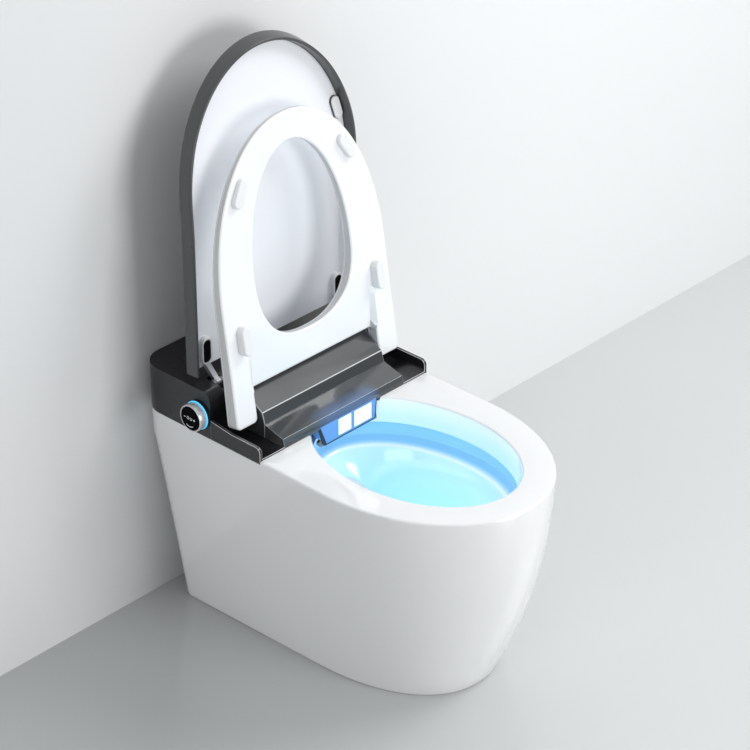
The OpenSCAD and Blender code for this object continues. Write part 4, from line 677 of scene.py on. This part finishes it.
shell += [bowl_ring(SUMP_Z + SHELL_T, *PAN_FLOOR, SHELL_T)]
rings = np.array([bowl_ring(*v) for v in bowl_levels[::-1]] + skirt + void + shell) * MM
print("body rings:", rings.shape)

# %% Bowl glaze with painted light
# The night light is painted into the glaze. Each colour takes over from the one below it between two heights
# in metres: the lower pan, the upper pan, the ledge's edge as a painted highlight, the flush channel in a
# darker painted shade, the wall and the rim.
BOWL_DEEP_PAINTED_SHADE = (0.02, 0.24, 0.60)
BOWL_PAINTED_LIGHT = ((0.10, 0.19, (0.52, 0.87, 0.94)), (0.24, 0.312, (0.60, 0.86, 0.92)),
                (0.303, 0.307, (0.80, 0.95, 0.98)), (0.307, 0.312, (0.27, 0.58, 0.83)),
                (0.340, 0.349, (0.60, 0.80, 0.88)), (0.355, 0.391, (0.80, 0.86, 0.88)))
PLAIN_RIM_ROWS = 5


def lit_bowl_material():
    """White glaze with the night light painted into its colour and glow by height: pale under the rim, a
    darker blue of painted shade in the flush channel, a painted highlight on the ledge's edge, deep blue
    painted shade in the sump, and bright cyan in the pan, as the night light fills it."""
    mat = plain_material("lit_bowl_glaze", (0.9, 0.9, 0.9), coat=0.7)
    surface(mat, fine_surface, 0.03, Wave_Scale=5.0, Grain_Scale=60.0, Rough_Low=0.08, Rough_High=0.16,
            Grain_Share=0.2)
    tree = mat.node_tree
    shader = tune(tree.nodes[SHADER], Emission_Strength=0.30)
    colour = BOWL_DEEP_PAINTED_SHADE
    for low, high, above in BOWL_PAINTED_LIGHT:
        colour = blended(tree, place_group(tree, height_fade, Low=low, High=high), colour, above)
    tree.links.new(colour, shader.inputs["Base Color"])
    tree.links.new(colour, shader.inputs["Emission Color"])
    return mat


finish["lit_bowl"] = lit_bowl_material()
points, faces = closed_stack(rings)
strip_row = np.arange((len(rings) - 1) * COLUMNS) // COLUMNS
# The bowl's faces, less the top rows under the rim, take the painted night light.
painted_light_faces = np.concatenate([(strip_row < len(bowl_levels) - PLAIN_RIM_ROWS).astype(int), np.ones(COLUMNS, int),
                          np.zeros(COLUMNS, int)])
ceramic = make_piece("ceramic_skin", points, faces, [finish["ceramic"], finish["lit_bowl"]], "toilet",
                     ["ceramic_rim", "ceramic_left", "ceramic_right", "ceramic_bowl", "ceramic_sump"],
                     slots=painted_light_faces)
print("ceramic faces:", len(ceramic.data.polygons))

# %% Openings for the works
UP, BACKWARD, ROD_SIDES = (0, 0, 1), (0, 1, 0), 48
DECK_STEP = (-201, 0, -6), (201, 286, 1)
COMPARTMENT = (-165, 95, -96), (165, 262, 1)
NOZZLE_NOTCH = (-64, -45, -38), (77, 60, 1)
REAR_OPENING = (-80, 165, -393), (80, 286, -162)
BOLT_X, BOLT_Y, BOLT_Z, BOLT_R, BOLT_L = 165, 60, -31, 5, 26
PASSAGE_R, PASSAGE_X, PASSAGE_Z = 15, -5, -62


def box_cutter(low, high):
    """A box between two corners in deck millimetres."""
    x, y, z = (np.array([low[k], high[k]], float) for k in range(3))
    grid = np.array([(a, b, c) for c in z for b in y for a in x])
    quads = [(0, 2, 3, 1), (4, 5, 7, 6), (0, 1, 5, 4), (2, 6, 7, 3), (0, 4, 6, 2), (1, 3, 7, 5)]
    mesh = bpy.data.meshes.new("cutter")
    mesh.from_pydata(from_deck(grid), [], quads)
    return bpy.data.objects.new("cutter", mesh)


def rod_cutter(start, axis, radius, length):
    """A cylinder along an axis from its start, in deck millimetres."""
    mesh = bpy.data.meshes.new("cutter")
    work = bmesh.new()
    bmesh.ops.create_cone(work, cap_ends=True, segments=ROD_SIDES, radius1=radius * MM, radius2=radius * MM,
                          depth=length * MM)
    turn_to = Vector((0, 0, 1)).rotation_difference(Vector(axis)).to_matrix().to_4x4()
    middle = Vector(from_deck(start)) + Vector(axis) * length * MM / 2
    bmesh.ops.transform(work, matrix=Matrix.Translation(middle) @ turn_to, verts=work.verts)
    work.to_mesh(mesh)
    work.free()
    return bpy.data.objects.new("cutter", mesh)


def bolt_holes():
    """The two blind holes for the cover's bolts."""
    return [rod_cutter((side * BOLT_X, BOLT_Y, BOLT_Z), UP, BOLT_R, BOLT_L) for side in (1, -1)]


def carve(piece, cutters, operation="DIFFERENCE"):
    """Applies exact Booleans one after another, then removes the cutters."""
    for cutter in cutters:
        bpy.context.scene.collection.objects.link(cutter)
        step = piece.modifiers.new("carve", "BOOLEAN")
        step.operation = operation
        step.solver = "EXACT"
        step.object = cutter
        bpy.context.view_layer.update()
        result = bpy.data.meshes.new_from_object(piece.evaluated_get(bpy.context.evaluated_depsgraph_get()))
        piece.modifiers.remove(step)
        piece.data = result
        bpy.data.objects.remove(cutter)
    smooth(piece, 35)


carve(ceramic, [box_cutter(*DECK_STEP), box_cutter(*COMPARTMENT), box_cutter(*NOZZLE_NOTCH),
                rod_cutter((PASSAGE_X, 12, PASSAGE_Z), BACKWARD, PASSAGE_R, 84), box_cutter(*REAR_OPENING),
                *bolt_holes()])
print("ceramic after cuts:", len(ceramic.data.polygons))

# %% [markdown]
# ## Hidden ceramic works
# Behind the bowl the casting carries a box for the works, a shelf for the cover's bolts, the trapway that
# drains the bowl, and a foot web with the outlet. They are plain closed forms inside the skirt, joined to
# it on the real casting.

# %% Works box, shelf and foot web
SHELF_NOTCH = (-64, 40, -38), (77, 60, 1)
BOX_OPENING = (-80, 165, -393), (80, 290, -162)
SUPPLY_HOLE, CORD_HOLE = (-122, 142, -115), (130, 212, -115)
WEB_BOX = (-200, -79, -392), (200, 45, -378)
OUTLET_BACK, OUTLET_R, FLOOR_BOLT_X, FLOOR_BOLT_R = -17, 28, 95, 6


def clipped_to_body(corners, name, node, cutters):
    """A block between two corners, kept only inside the outer skin by an intersection with a closed stack,
    and then cut."""
    levels = np.linspace(0.0, RIM_H - 1, 30)
    hull = closed_stack(np.array([ring_at(body_outline(z, 2.0), z) for z in levels]) * MM)
    piece = make_piece(name, *hull, finish["ceramic"], "toilet", [node])
    carve(piece, [box_cutter(*corners)], "INTERSECT")
    carve(piece, cutters)


clipped_to_body(((-179, 81, -110), (179, 276, -6)), "ceramic_works_box", "ceramic_box",
                [box_cutter(*COMPARTMENT), rod_cutter((PASSAGE_X, 70, PASSAGE_Z), BACKWARD, PASSAGE_R, 40),
                 rod_cutter(SUPPLY_HOLE, UP, 18, 30), rod_cutter(CORD_HOLE, UP, 12, 30),
                 box_cutter(*BOX_OPENING)])
clipped_to_body(((-200, 46, -30), (200, 95, -6)), "ceramic_shelf", "ceramic_box",
                [box_cutter(*SHELF_NOTCH), *bolt_holes()])
clipped_to_body(WEB_BOX, "ceramic_foot_web", "ceramic_left",
                [rod_cutter((x, OUTLET_BACK, -393), UP, r, 20)
                 for x, r in ((0, OUTLET_R), (FLOOR_BOLT_X, FLOOR_BOLT_R), (-FLOOR_BOLT_X, FLOOR_BOLT_R))])
print("works box, shelf and foot web made")

# %% Trapway
RISE, FALL, RISE_L, CREST_Y, CREST_Z, CREST_R, DROP_R = 46.0, 130.0, 165.0, 90.0, 176.0, 60.0, 50.0
OUTLET_Y, OUTLET_Z = 44.5, 0.5
TRAP_R, TRAP_BORE = 37.0, 28.0


def trap_path():
    """The trapway's middle line as (y, z, heading): a rise, a bend over the crest, a fall and a drop."""
    rise, fall = np.radians(RISE), np.radians(FALL)
    crest = np.radians(np.linspace(RISE, -FALL, 28))
    over = np.stack([CREST_Y - CREST_R * np.sin(crest), CREST_Z + CREST_R * np.cos(crest), crest], -1)
    start = over[0, :2] - RISE_L * np.array([np.cos(rise), np.sin(rise)])
    turn_back = np.radians(np.linspace(-FALL, -90, 10))
    low_z = over[-1, 1] - (over[-1, 0] - OUTLET_Y - DROP_R * (1 - np.sin(fall))) * np.tan(np.pi - fall)
    centre_z = low_z + DROP_R * np.cos(fall)
    drop_y, drop_z = OUTLET_Y + DROP_R * (1 + np.sin(turn_back)), centre_z - DROP_R * np.cos(turn_back)
    drop = np.stack([drop_y, drop_z, turn_back], -1)
    return np.concatenate([[[*start, rise]], over, drop, [[OUTLET_Y, OUTLET_Z, np.radians(-90)]]])


def tube_rings(path, radius, sides=40):
    """Circles square to a path in the middle plane."""
    a = np.linspace(0, 2 * np.pi, sides, endpoint=False)
    y, z, h = (path[:, k, None] for k in range(3))
    x = np.broadcast_to(radius * np.cos(a), (len(path), sides))
    return np.stack([x, y + radius * np.sin(a) * np.sin(h), z - radius * np.sin(a) * np.cos(h)], -1)


trap = trap_path()
walls = np.concatenate([tube_rings(trap, TRAP_R), tube_rings(trap[::-1], TRAP_BORE),
                        tube_rings(trap[:1], TRAP_R)])
make_piece("ceramic_trapway", walls.reshape(-1, 3) * MM, strip_faces(*walls.shape[:2]), finish["ceramic"],
           "toilet", ["ceramic_trap"])
print("ceramic works made")

# %% [markdown]
# ## The seat
# The real seat is two white mouldings welded round a heater foil. It stands raised, so its underside faces
# the front: legs at the bottom, a hole, white rubber pads and a shallow wedge that clears the panel when it
# is closed. Each half is one plate whose outline has soft corners and whose edges are rounded, because the
# light that runs along those edges is what makes moulded plastic read as plastic.

# %% Seat outlines and faces
SEAT_W, SEAT_L = 385.0, 482.0
SEAT_AXIS = np.array([0.0, 75.0, 36.0])
SEAT_TURN = np.radians(-100.2)
LEG_IN, LEG_END, LEG_CORNER, BRIDGE_S, BRIDGE_CORNER = 145.5, -10.0, 9.0, 45.0, 6.0
LEG_NARROWS, LEG_STRAIGHT, TIP_FROM, TIP_N = 2.0, 80.0, 190.0, 2.1
WAIST_IN_SEAT = 2.5
WEDGE_HALF, WEDGE_L, WEDGE_D, WEDGE_SIDE = 145.4, 150.0, 13.0, 2.5
UNDER_D, UNDER_SLOPE, UPPER_D, UPPER_SLOPE, SEAM = -17.0, 0.026, 9.2, 0.0535, 5.0
HOLE_HALF, HOLE_BACK, HOLE_WIDEST, HOLE_TIP_RIM = 110.0, 104.0, 225.0, 50.0


def seat_place(p):
    """Seat coordinates (x, forward s, up d) of the closed seat to the raised seat: a turn about the hinge."""
    x, y, z = p[:, 0], -p[:, 1], p[:, 2]
    c, s = np.cos(SEAT_TURN), np.sin(SEAT_TURN)
    return from_deck(np.column_stack([x, y * c - z * s, y * s + z * c]) + SEAT_AXIS)


def ease(t):
    """A smooth step from 0 to 1: three t squared less two t cubed."""
    t = np.clip(t, 0, 1)
    return t * t * (3 - 2 * t)


def seat_under(x, s):
    """The underside slopes gently, and a wedge between the legs rises from it with soft sides."""
    wedge = WEDGE_D * np.clip((WEDGE_L - s) / (WEDGE_L - BRIDGE_S), 0, 1.05)
    return UNDER_D - UNDER_SLOPE * s + wedge * ease((WEDGE_HALF - np.abs(x)) / WEDGE_SIDE)


def seat_upper(x, s):
    """The upper face slopes down towards the tip."""
    return UPPER_D - UPPER_SLOPE * s


def seat_seam(x, s):
    """The face where the two halves are welded: the upper face lowered by the upper half's thickness."""
    return seat_upper(x, s) - SEAM


def seat_loop():
    """The seat's outline: bridge, leg with soft end corners, long side, and a superellipse tip."""
    w, waist, corner_s = SEAT_W / 2, SEAT_W / 2 - WAIST_IN_SEAT, LEG_END + LEG_CORNER
    bridge_x, bridge_s = LEG_IN - BRIDGE_CORNER, BRIDGE_S - BRIDGE_CORNER
    tip = superquarter(waist, SEAT_L - TIP_FROM, TIP_N, 150)
    half = np.concatenate([
        [[0, BRIDGE_S]], run((0, BRIDGE_S), (bridge_x, BRIDGE_S), 26),
        arc(bridge_x, bridge_s, BRIDGE_CORNER, 90, 0, 8), run((LEG_IN, bridge_s), (LEG_IN, corner_s), 6),
        arc(LEG_IN + LEG_CORNER, corner_s, LEG_CORNER, 180, 270, 9),
        run((LEG_IN + LEG_CORNER, LEG_END), (w - LEG_CORNER, LEG_END), 5),
        arc(w - LEG_CORNER, corner_s, LEG_CORNER, -90, 0, 9),
        run((w, corner_s), (w - LEG_NARROWS, LEG_STRAIGHT), 14),
        run((w - LEG_NARROWS, LEG_STRAIGHT), (waist, TIP_FROM), 18),
        np.stack([tip[:, 0], TIP_FROM + tip[:, 1]], -1)])
    return mirrored(half)


def seat_hole():
    """The hole: two half superellipses that meet at its widest line."""
    front = superquarter(HOLE_HALF, SEAT_L - HOLE_TIP_RIM - HOLE_WIDEST, 2.0, 70)
    back = superquarter(HOLE_HALF, HOLE_WIDEST - HOLE_BACK, 2.4, 70)
    half = np.concatenate([np.stack([back[::-1, 0], HOLE_WIDEST - back[::-1, 1]], -1),
                           np.stack([front[1:, 0], HOLE_WIDEST + front[1:, 1]], -1)])
    return mirrored(half)


print("seat outline points:", len(seat_loop()), "hole points:", len(seat_hole()))

# %% Seat halves
# The walls that run round each half and round the hole lie in their own shade, which is painted on them as a
# darker white.
WALL_LEAN = 0.35
seat_wall_painted_shade = moulded("seat_wall_painted_shade", (0.60, 0.61, 0.615), 0.3, coat=0.3, grain=120.0, height=0.04)
foot, head = seat_place(np.array([[0, 100.0, 0], [0, 100.0, 1.0]]))
seat_up = (head - foot) / np.linalg.norm(head - foot)


def seat_half(name, node, low, high, low_edge, high_edge, grid):
    """One half of the seat: a plate with the hole in it. A face is a wall, and takes the painted shade, where
    its normal leans by less than WALL_LEAN towards the seat's own up direction."""
    points, faces = plate([seat_loop(), seat_hole()], low, high, low_edge, high_edge, seat_place, grid=grid)
    half = make_piece(name, points, faces, [finish["seat_white"], seat_wall_painted_shade], "seat", [node])
    normals = np.zeros(3 * len(half.data.polygons))
    half.data.polygons.foreach_get("normal", normals)
    lean = np.abs(normals.reshape(-1, 3) @ seat_up)
    half.data.polygons.foreach_set("material_index", (lean < WALL_LEAN).astype(int))
    print(name, "faces:", len(half.data.polygons))


seat_half("seat_lower_half", "seat_base", seat_under, seat_seam, rounding(4.0), rounding(0.5, 3), 7.0)
seat_half("seat_upper_half", "seat_top", seat_seam, seat_upper, rounding(0.5, 3), rounding(4.4), 9.0)

# %% Seat pads
PAD_REACH, PAD_SINK = -35.7, 0.6


def pill(cx, cy, width, length, turn=0.0):
    """A pad seen from below: two half circles joined by straight sides, turned about its middle."""
    r, reach = width / 2, (length - width) / 2
    loop = np.concatenate([arc(0, reach, r, 0, 180, 17), run((-r, reach), (-r, -reach), 6),
                           arc(0, -reach, r, 180, 360, 17), run((r, -reach), (r, reach), 6)])
    a = np.radians(turn)
    spin = np.array([[np.cos(a), np.sin(a)], [-np.sin(a), np.cos(a)]])
    return loop @ spin + np.array([cx, cy])


def seat_pads(name, x, s, turn, node):
    """Two mirrored rubber pads that stand on the underside and reach the rim plane."""
    parts = [plate([pill(side * x, s, 20, 50, side * turn)], level(PAD_REACH),
                   lambda a, b: seat_under(a, b) + PAD_SINK, rounding(3.2, 6), rounding(0.3, 2), seat_place,
                   grid=4.0, margin=0.8) for side in (1, -1)]
    make_piece(name, *merged(parts), finish["rubber_white"], "seat", [node])


seat_pads("seat_pads_rear", 157.0, 140.0, 0.0, "seat_buffers_rear")
seat_pads("seat_pads_front", 122.0, 382.0, 31.0, "seat_buffers_front")
print("seat pads reach below the hinge by", -PAD_REACH, "mm")

# %% [markdown]
# ## The lid
# The lid is a shallow tray of dark satin plastic with a white liner. Raised, its open side faces the front,
# so the eye sees the rim edge on, the grey outer wall that flares towards the back, and the white liner.
# The rim is one profile carried round a U-shaped path, and the straight lid bends back gently at its tip.

# %% Lid rim, back and liner
LID_HALF, LID_L, LID_FROM = 190.0, 531.0, 300.0
LIP_Y, LIP_FOOT, STRAIGHT, BEND_R, BEND = 152.0, 92.0, 238.0, 1070.0, np.radians(7.5)
LIP_ROUND, WALL_T, BACK_T, FLARE_X, FLARE_S = 1.8, 5.5, 26.0, 1.5, 8.0
BACK_ROUND, BACK_LIP, BACK_INSET = 2.6, 12.0, 9.0


def lid_place(p):
    """Lid coordinates (x, height s along the lip, depth t behind it): straight, then a slow circular bend."""
    x, s, t = p.T
    bent = BEND_R * BEND
    b = np.clip(s - STRAIGHT, 0, bent) / BEND_R
    rest = np.maximum(s - STRAIGHT - bent, 0)
    y = LIP_Y + BEND_R * (1 - np.cos(b)) + rest * np.sin(b)
    z = LIP_FOOT + np.minimum(s, STRAIGHT) + BEND_R * np.sin(b) + rest * np.cos(b)
    return from_deck(np.column_stack([x, y + t * np.cos(b), z - t * np.sin(b)]))


def lid_half_path(grow_x, grow_s, inset):
    """Half of the lid's edge from its foot to the tip, grown outwards, then set in by inset."""
    a, b = LID_HALF + grow_x - inset, LID_L - LID_FROM + grow_s - inset
    tip = superquarter(a, b, 2.0, 150)
    return np.concatenate([[[a, 0.0]], run((a, 0), (a, LID_FROM), 50),
                           np.stack([tip[:, 0], LID_FROM + tip[:, 1]], -1)])


def lid_ring(inset, depth, flare):
    """The whole U from the right foot over the tip to the left foot, at one depth behind the lip."""
    half = lid_half_path(FLARE_X * flare, FLARE_S * flare, inset)
    path = np.concatenate([half, half[:-1][::-1] * np.array([-1.0, 1.0])])
    return np.column_stack([path, np.full(len(path), depth)])


def lid_rim_rows():
    """The rim's closed profile as (inset, depth, share of flare) rows: the lip, a quarter round to the outer
    wall, the wall as it flares, a quarter round to the rear edge, and the inner wall."""
    rows = [(WALL_T, 22.0, 0.0), (WALL_T, 2.0, 0.0)]
    rows += [(WALL_T - 1.4 * (1 - np.cos(a)), 2 - 1.6 * np.sin(a), 0.0) for a in np.radians((30, 60, 90))]
    rows += [(LIP_ROUND, 0.0, 0.0)]
    rows += [(inset, depth, 0.0) for inset, depth in rounding(LIP_ROUND, 4)[1:]]
    rows += [(0.0, t, t / 22) for t in (6.0, 11.0, 16.0, 21.0)]
    rows += [(BACK_ROUND * (1 - np.cos(a)), BACK_T + BACK_ROUND * (np.sin(a) - 1), 1.0)
             for a in np.radians((0, 20, 40, 60, 75, 90))]
    rows += [(BACK_LIP, BACK_T, 1.0), (BACK_LIP, BACK_T - 3, 0.5)]
    return rows


def closed_at_foot(half, s):
    """A half path closed along a straight foot at height s, and mirrored."""
    half = np.maximum(half, [0, s])
    return mirrored(np.concatenate([[[0, s]], run((0, s), half[0], 20), half]))


rim_points, rim_faces = closed_stack(np.array([lid_ring(*row) for row in lid_rim_rows()]).transpose(1, 0, 2))
back_loop = closed_at_foot(lid_half_path(FLARE_X, FLARE_S, BACK_INSET), 0.0)
back = plate([back_loop], level(23.2), level(25.98), rounding(0.4, 3), rounding(0.4, 3), lid_place, grid=14.0)
lid_shell = make_piece("lid_shell_moulding", *merged([(lid_place(rim_points), rim_faces), back]),
                       finish["lid_grey"], "lid", ["lid_shell"], angle=40)
# The liner's faint glow is painted light.
finish["lid_liner"] = moulded("lid_liner_white_painted_glow", (0.88, 0.895, 0.93), 0.22, coat=0.3, grain=150.0,
                              height=0.04, emission=(0.85, 0.90, 1.0), glow=0.05)
liner_loop = closed_at_foot(lid_half_path(0.0, 0.0, WALL_T + 0.3), 0.5)
liner = plate([liner_loop], level(21.0), level(23.4), rounding(0.8, 4), rounding(0.3, 2), lid_place,
              grid=12.0)
make_piece("lid_liner_sheet", *liner, finish["lid_liner"], "lid", ["lid_liner"])
print("lid faces:", len(lid_shell.data.polygons))

# %% Lid bumpers
BUMPER_X, BUMPER_S, BUMPER_W, BUMPER_L, BUMPER_TURN = 166.0, 362.0, 20.0, 44.0, 13.0


def lid_pads(name, low, high, shrink, material):
    """Two mirrored pill pads on the liner, turned along the rim, between two depths behind the lip."""
    loops = [pill(side * BUMPER_X, BUMPER_S, BUMPER_W - shrink, BUMPER_L - shrink, side * BUMPER_TURN)
             for side in (1, -1)]
    parts = [plate([loop], level(low), level(high), rounding(2.4, 5), rounding(0.3, 2), lid_place, grid=4.0,
                   margin=0.6) for loop in loops]
    make_piece(name, *merged(parts), material, "lid", ["lid_bumpers"])


lid_pads("lid_bumper_bases", 16.6, 21.2, 0.0, finish["lid_grey"])
lid_pads("lid_bumper_faces", 15.0, 18.0, 1.6, finish["rubber_white"])
print("bumpers made")

# %% [markdown]
# ## Mouldings that keep the CAD shape
# The cover, the hinge housing, the panels and the fittings are right in the CAD, but real mouldings have no
# knife edges. Each gets a copy of its own mesh whose loose triangles are merged into flat faces, and a
# small bevel then rounds every outer edge, so highlights run along them. On the dark mouldings the bevels
# also take a lighter paint, a painted highlight.

# %% Rounded copies
SHARP = 28.0
# Where a painted reflection of the nozzle panel's blue glows on the dark panel before it, in metres along
# each axis.
PAINTED_REFLECTION_AREA = (("X", -0.085, -0.030), ("X", 0.090, 0.060), ("Y", 0.094, 0.064))


def rounded(node, name, material, body, width, edge=None):
    """A merged copy of a CAD node with every sharp outer corner rounded by width in millimetres. The rounded
    edges take the edge material, if one is given: a lighter paint that is a painted highlight of a gloss
    edge."""
    mesh = nodes[node].data.copy()
    mesh.name = name
    mesh.materials.clear()
    for entry in (material, edge or material):
        mesh.materials.append(entry)
    work = bmesh.new()
    work.from_mesh(mesh)
    bmesh.ops.remove_doubles(work, verts=work.verts, dist=2e-6)
    bmesh.ops.dissolve_limit(work, angle_limit=np.radians(0.6), verts=work.verts, edges=work.edges)
    weight = work.edges.layers.float.new("bevel_weight_edge")
    for line in work.edges:
        line[weight] = float(line.is_convex and line.calc_face_angle(0.0) > np.radians(SHARP))
    work.to_mesh(mesh)
    work.free()
    piece = placed(name, mesh)
    smooth(piece, SHARP)
    bevel = piece.modifiers.new("edge", "BEVEL")
    bevel.width = width * MM
    bevel.segments = 3
    bevel.limit_method = "WEIGHT"
    bevel.use_clamp_overlap = True
    bevel.harden_normals = True
    bevel.material = 1
    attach(piece, body)
    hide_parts(node)


def panel_with_painted_reflection():
    """Dark gloss plastic with a painted reflection of the lit nozzle panel's blue along its lower front edge:
    the painted glow is the product of one smooth step for each side of the reflection's area."""
    mat = moulded("panel_gloss_painted_reflection", (0.056, 0.060, 0.064), 0.12, coat=0.7, grain=220.0, height=0.03)
    tree = mat.node_tree
    shader = tune(tree.nodes[SHADER], Emission_Color=(0.020, 0.075, 0.21, 1))
    split = put(tree, "SeparateXYZ")
    join(tree, put(tree, "TexCoord"), "Object", split, 0)
    painted_reflection, *others = [smooth_step(tree, split, axis, clear, full) for axis, clear, full in PAINTED_REFLECTION_AREA]
    for other in others:
        product = put(tree, "Math")
        product.operation = "MULTIPLY"
        join(tree, painted_reflection, 0, product, 0)
        join(tree, other, 0, product, 1)
        painted_reflection = product
    join(tree, painted_reflection, 0, shader, "Emission Strength")
    return mat


finish["panel_gloss_painted_reflection"] = panel_with_painted_reflection()
# Lighter paint for the bevels of the dark mouldings: a painted highlight along their edges.
cover_edge_painted_highlight = moulded("cover_edge_painted_highlight", (0.07, 0.07, 0.075), 0.3, coat=0.3)
edge_painted_highlight = moulded("edge_painted_highlight", (0.52, 0.53, 0.54), 0.25, coat=0.5)
rounded("rear_cover", "cover_moulding", finish["gloss_black"], "toilet", 1.2, edge=cover_edge_painted_highlight)
rounded("side_wells", "well_moulding", finish["gloss_black"], "toilet", 0.8, edge=edge_painted_highlight)
rounded("hinge_cover", "hinge_moulding", finish["charcoal_gloss"], "toilet", 1.0, edge=edge_painted_highlight)
rounded("front_panel", "panel_moulding", finish["panel_gloss_painted_reflection"], "toilet", 0.8, edge=edge_painted_highlight)
rounded("nozzle_housing", "nozzle_moulding", finish["lit_panel"], "toilet", 0.35)
rounded("wand_cap", "wand_cap_moulding", finish["lit_window"], "wand", 0.35)
rounded("dryer_flap", "dryer_flap_moulding", finish["lit_window"], "flap", 0.3)
rounded("lid_hinge_blocks", "hinge_block_castings", finish["hinge_metal"], "toilet", 0.8)
rounded("lid_arms", "lid_arm_castings", finish["steel"], "lid", 0.9)
print("rounded copies made")

# %% [markdown]
# ## Lid sockets
# Each hinge arm enters the lid through a light capsule on the liner with a long recess that lies in shade.
# The capsule is a plate with a hole, and a black sheet closes the hole from behind as the recess's painted
# shade.

# %% Sockets on the liner
SOCKET_X, SOCKET_Z, SLOT_Z, SOCKET_FRONT = 155.0, 124.0, 123.0, 164.0


def socket_place(p):
    """Socket coordinates (x, height z, depth behind the socket's front face) to metres."""
    return from_deck(np.column_stack([p[:, 0], SOCKET_FRONT + p[:, 2], p[:, 1]]))


def socket_pair(name, finish_name, shapes, low, high, low_edge, high_edge):
    """A pill plate on each side. A second pill in the shapes, listed the other way round, is its hole."""
    pairs = [[pill(side * SOCKET_X, z, width, length)[::turn] for z, width, length, turn in shapes]
             for side in (1, -1)]
    parts = [plate(loops, level(low), level(high), low_edge, high_edge, socket_place, grid=4.0, margin=0.3)
             for loops in pairs]
    make_piece(name, *merged(parts), finish[finish_name], "lid", ["lid_sockets"])


socket_pair("lid_socket_capsules", "white_plastic", ((SOCKET_Z, 22, 50, 1), (SLOT_Z, 17, 42, -1)), 0.0, 9.0,
            rounding(1.8, 5), rounding(0.3, 2))
# A black sheet painted as the shade inside the recess.
socket_pair("lid_socket_recess_shade", "deep_black", ((SLOT_Z, 17.6, 43, 1),), 1.6, 8.6, rounding(0.2, 2),
            rounding(0.2, 2))
print("sockets made")

# %% [markdown]
# ## The control knob
# The knob is a turned aluminium ring round a black glass face with faint white marks, in front of a thin
# glowing ring. Ring and face are profiles turned about the knob's axis, as a lathe would make them.

# %% Knob
KNOB_Y, KNOB_Z, KNOB_STEPS = 141.0, 33.0, 96
MARK_LOW, MARK_HIGH = 21.6, 22.0


def knob_place(p):
    """Knob coordinates (across, up, out from the cover side) to metres: out points to minus x."""
    return from_deck(np.column_stack([-HALF_W - p[:, 2], KNOB_Y - p[:, 0], KNOB_Z + p[:, 1]]))


def turned(name, profile, material, body, node):
    """A closed profile of (radius, height) pairs turned once about the knob's axis: radius times the cosine
    of the turn across, and times its sine up."""
    a = np.linspace(0, 2 * np.pi, KNOB_STEPS, endpoint=False)[:, None]
    r, h = np.asarray(profile, float).T
    grid = np.stack([r * np.cos(a), r * np.sin(a), np.broadcast_to(h, (KNOB_STEPS, len(h)))], -1)
    rows = np.concatenate([grid, grid[:1]])
    make_piece(name, knob_place(rows.reshape(-1, 3)), strip_faces(*rows.shape[:2]), material, body, [node],
               angle=30)


ring = [(21.5, 12.0), (21.5, 19.6), (21.9, 20.3), (22.6, 20.5), (23.3, 20.5), (23.8, 20.1), (24.0, 19.4),
        (24.0, 5.0), (23.6, 4.2), (23.0, 4.0), (21.5, 4.0), (21.5, 6.0), (5.05, 6.0), (5.05, 12.0)]
turned("knob_ring_turned", ring, finish["satin_metal"], "knob_dial", "knob_ring")
face = [(0.0, 18.5), (20.9, 18.5), (20.95, 20.7), (20.6, 21.4), (19.8, 21.75), (16.0, 21.8), (0.0, 21.8)]
turned("knob_face_glass", face, finish["deep_black"], "knob_button", "knob_face")
collar = [(24.3, 0.0), (25.6, 0.0), (25.6, 4.1), (24.3, 4.1)]
turned("knob_collar", collar, finish["gloss_black"], "toilet", "knob_glow_ring")
glow = [(24.3, 4.2), (25.3, 4.2), (25.3, 5.6), (25.2, 5.9), (25.0, 6.0), (24.6, 5.9), (24.3, 5.7)]
turned("knob_glow_band", glow, finish["glow_ring"], "toilet", "knob_glow_ring")
print("knob turned")

# %% Marks on the knob
def mark(loop):
    """A thin plate on the knob face over the outline of a stroke."""
    square = [(0.0, 0.0)]
    return plate([loop], level(MARK_LOW), level(MARK_HIGH), square, square, knob_place, margin=0.05)


def bar(cx, cy, w, h):
    """A straight stroke: a rectangle about its middle."""
    return mark(np.array([cx, cy]) + np.array([(-w, -h), (w, -h), (w, h), (-w, h)]) / 2)


def bow(cx, cy, r, start, end, w=0.7):
    """A curved stroke: out along one arc and back along another, w apart."""
    out, back = arc(cx, cy, r + w / 2, start, end, 24), arc(cx, cy, r - w / 2, end, start, 24)
    return mark(np.concatenate([out, back]))


finish["mark_white"] = moulded("mark_white", (0.85, 0.9, 0.92), 0.4, emission=(0.8, 0.95, 1.0), glow=0.25)
minus, plus = [bar(-11.5, 1.0, 4.2, 0.9)], [bar(10.8, 1.0, 4.0, 0.9), bar(10.8, 1.0, 0.9, 4.0)]
signs = [bow(-3.6, 1.0, 2.3, 0, 350), bow(3.6, 1.0, 2.3, 120, 420), bow(0.0, -1.0, 13.5, 235, 305, 0.8)]
make_piece("knob_face_marks", *merged(minus + plus + signs), finish["mark_white"], "knob_button",
           ["knob_face"])
print("knob marks:", len(minus + plus + signs))
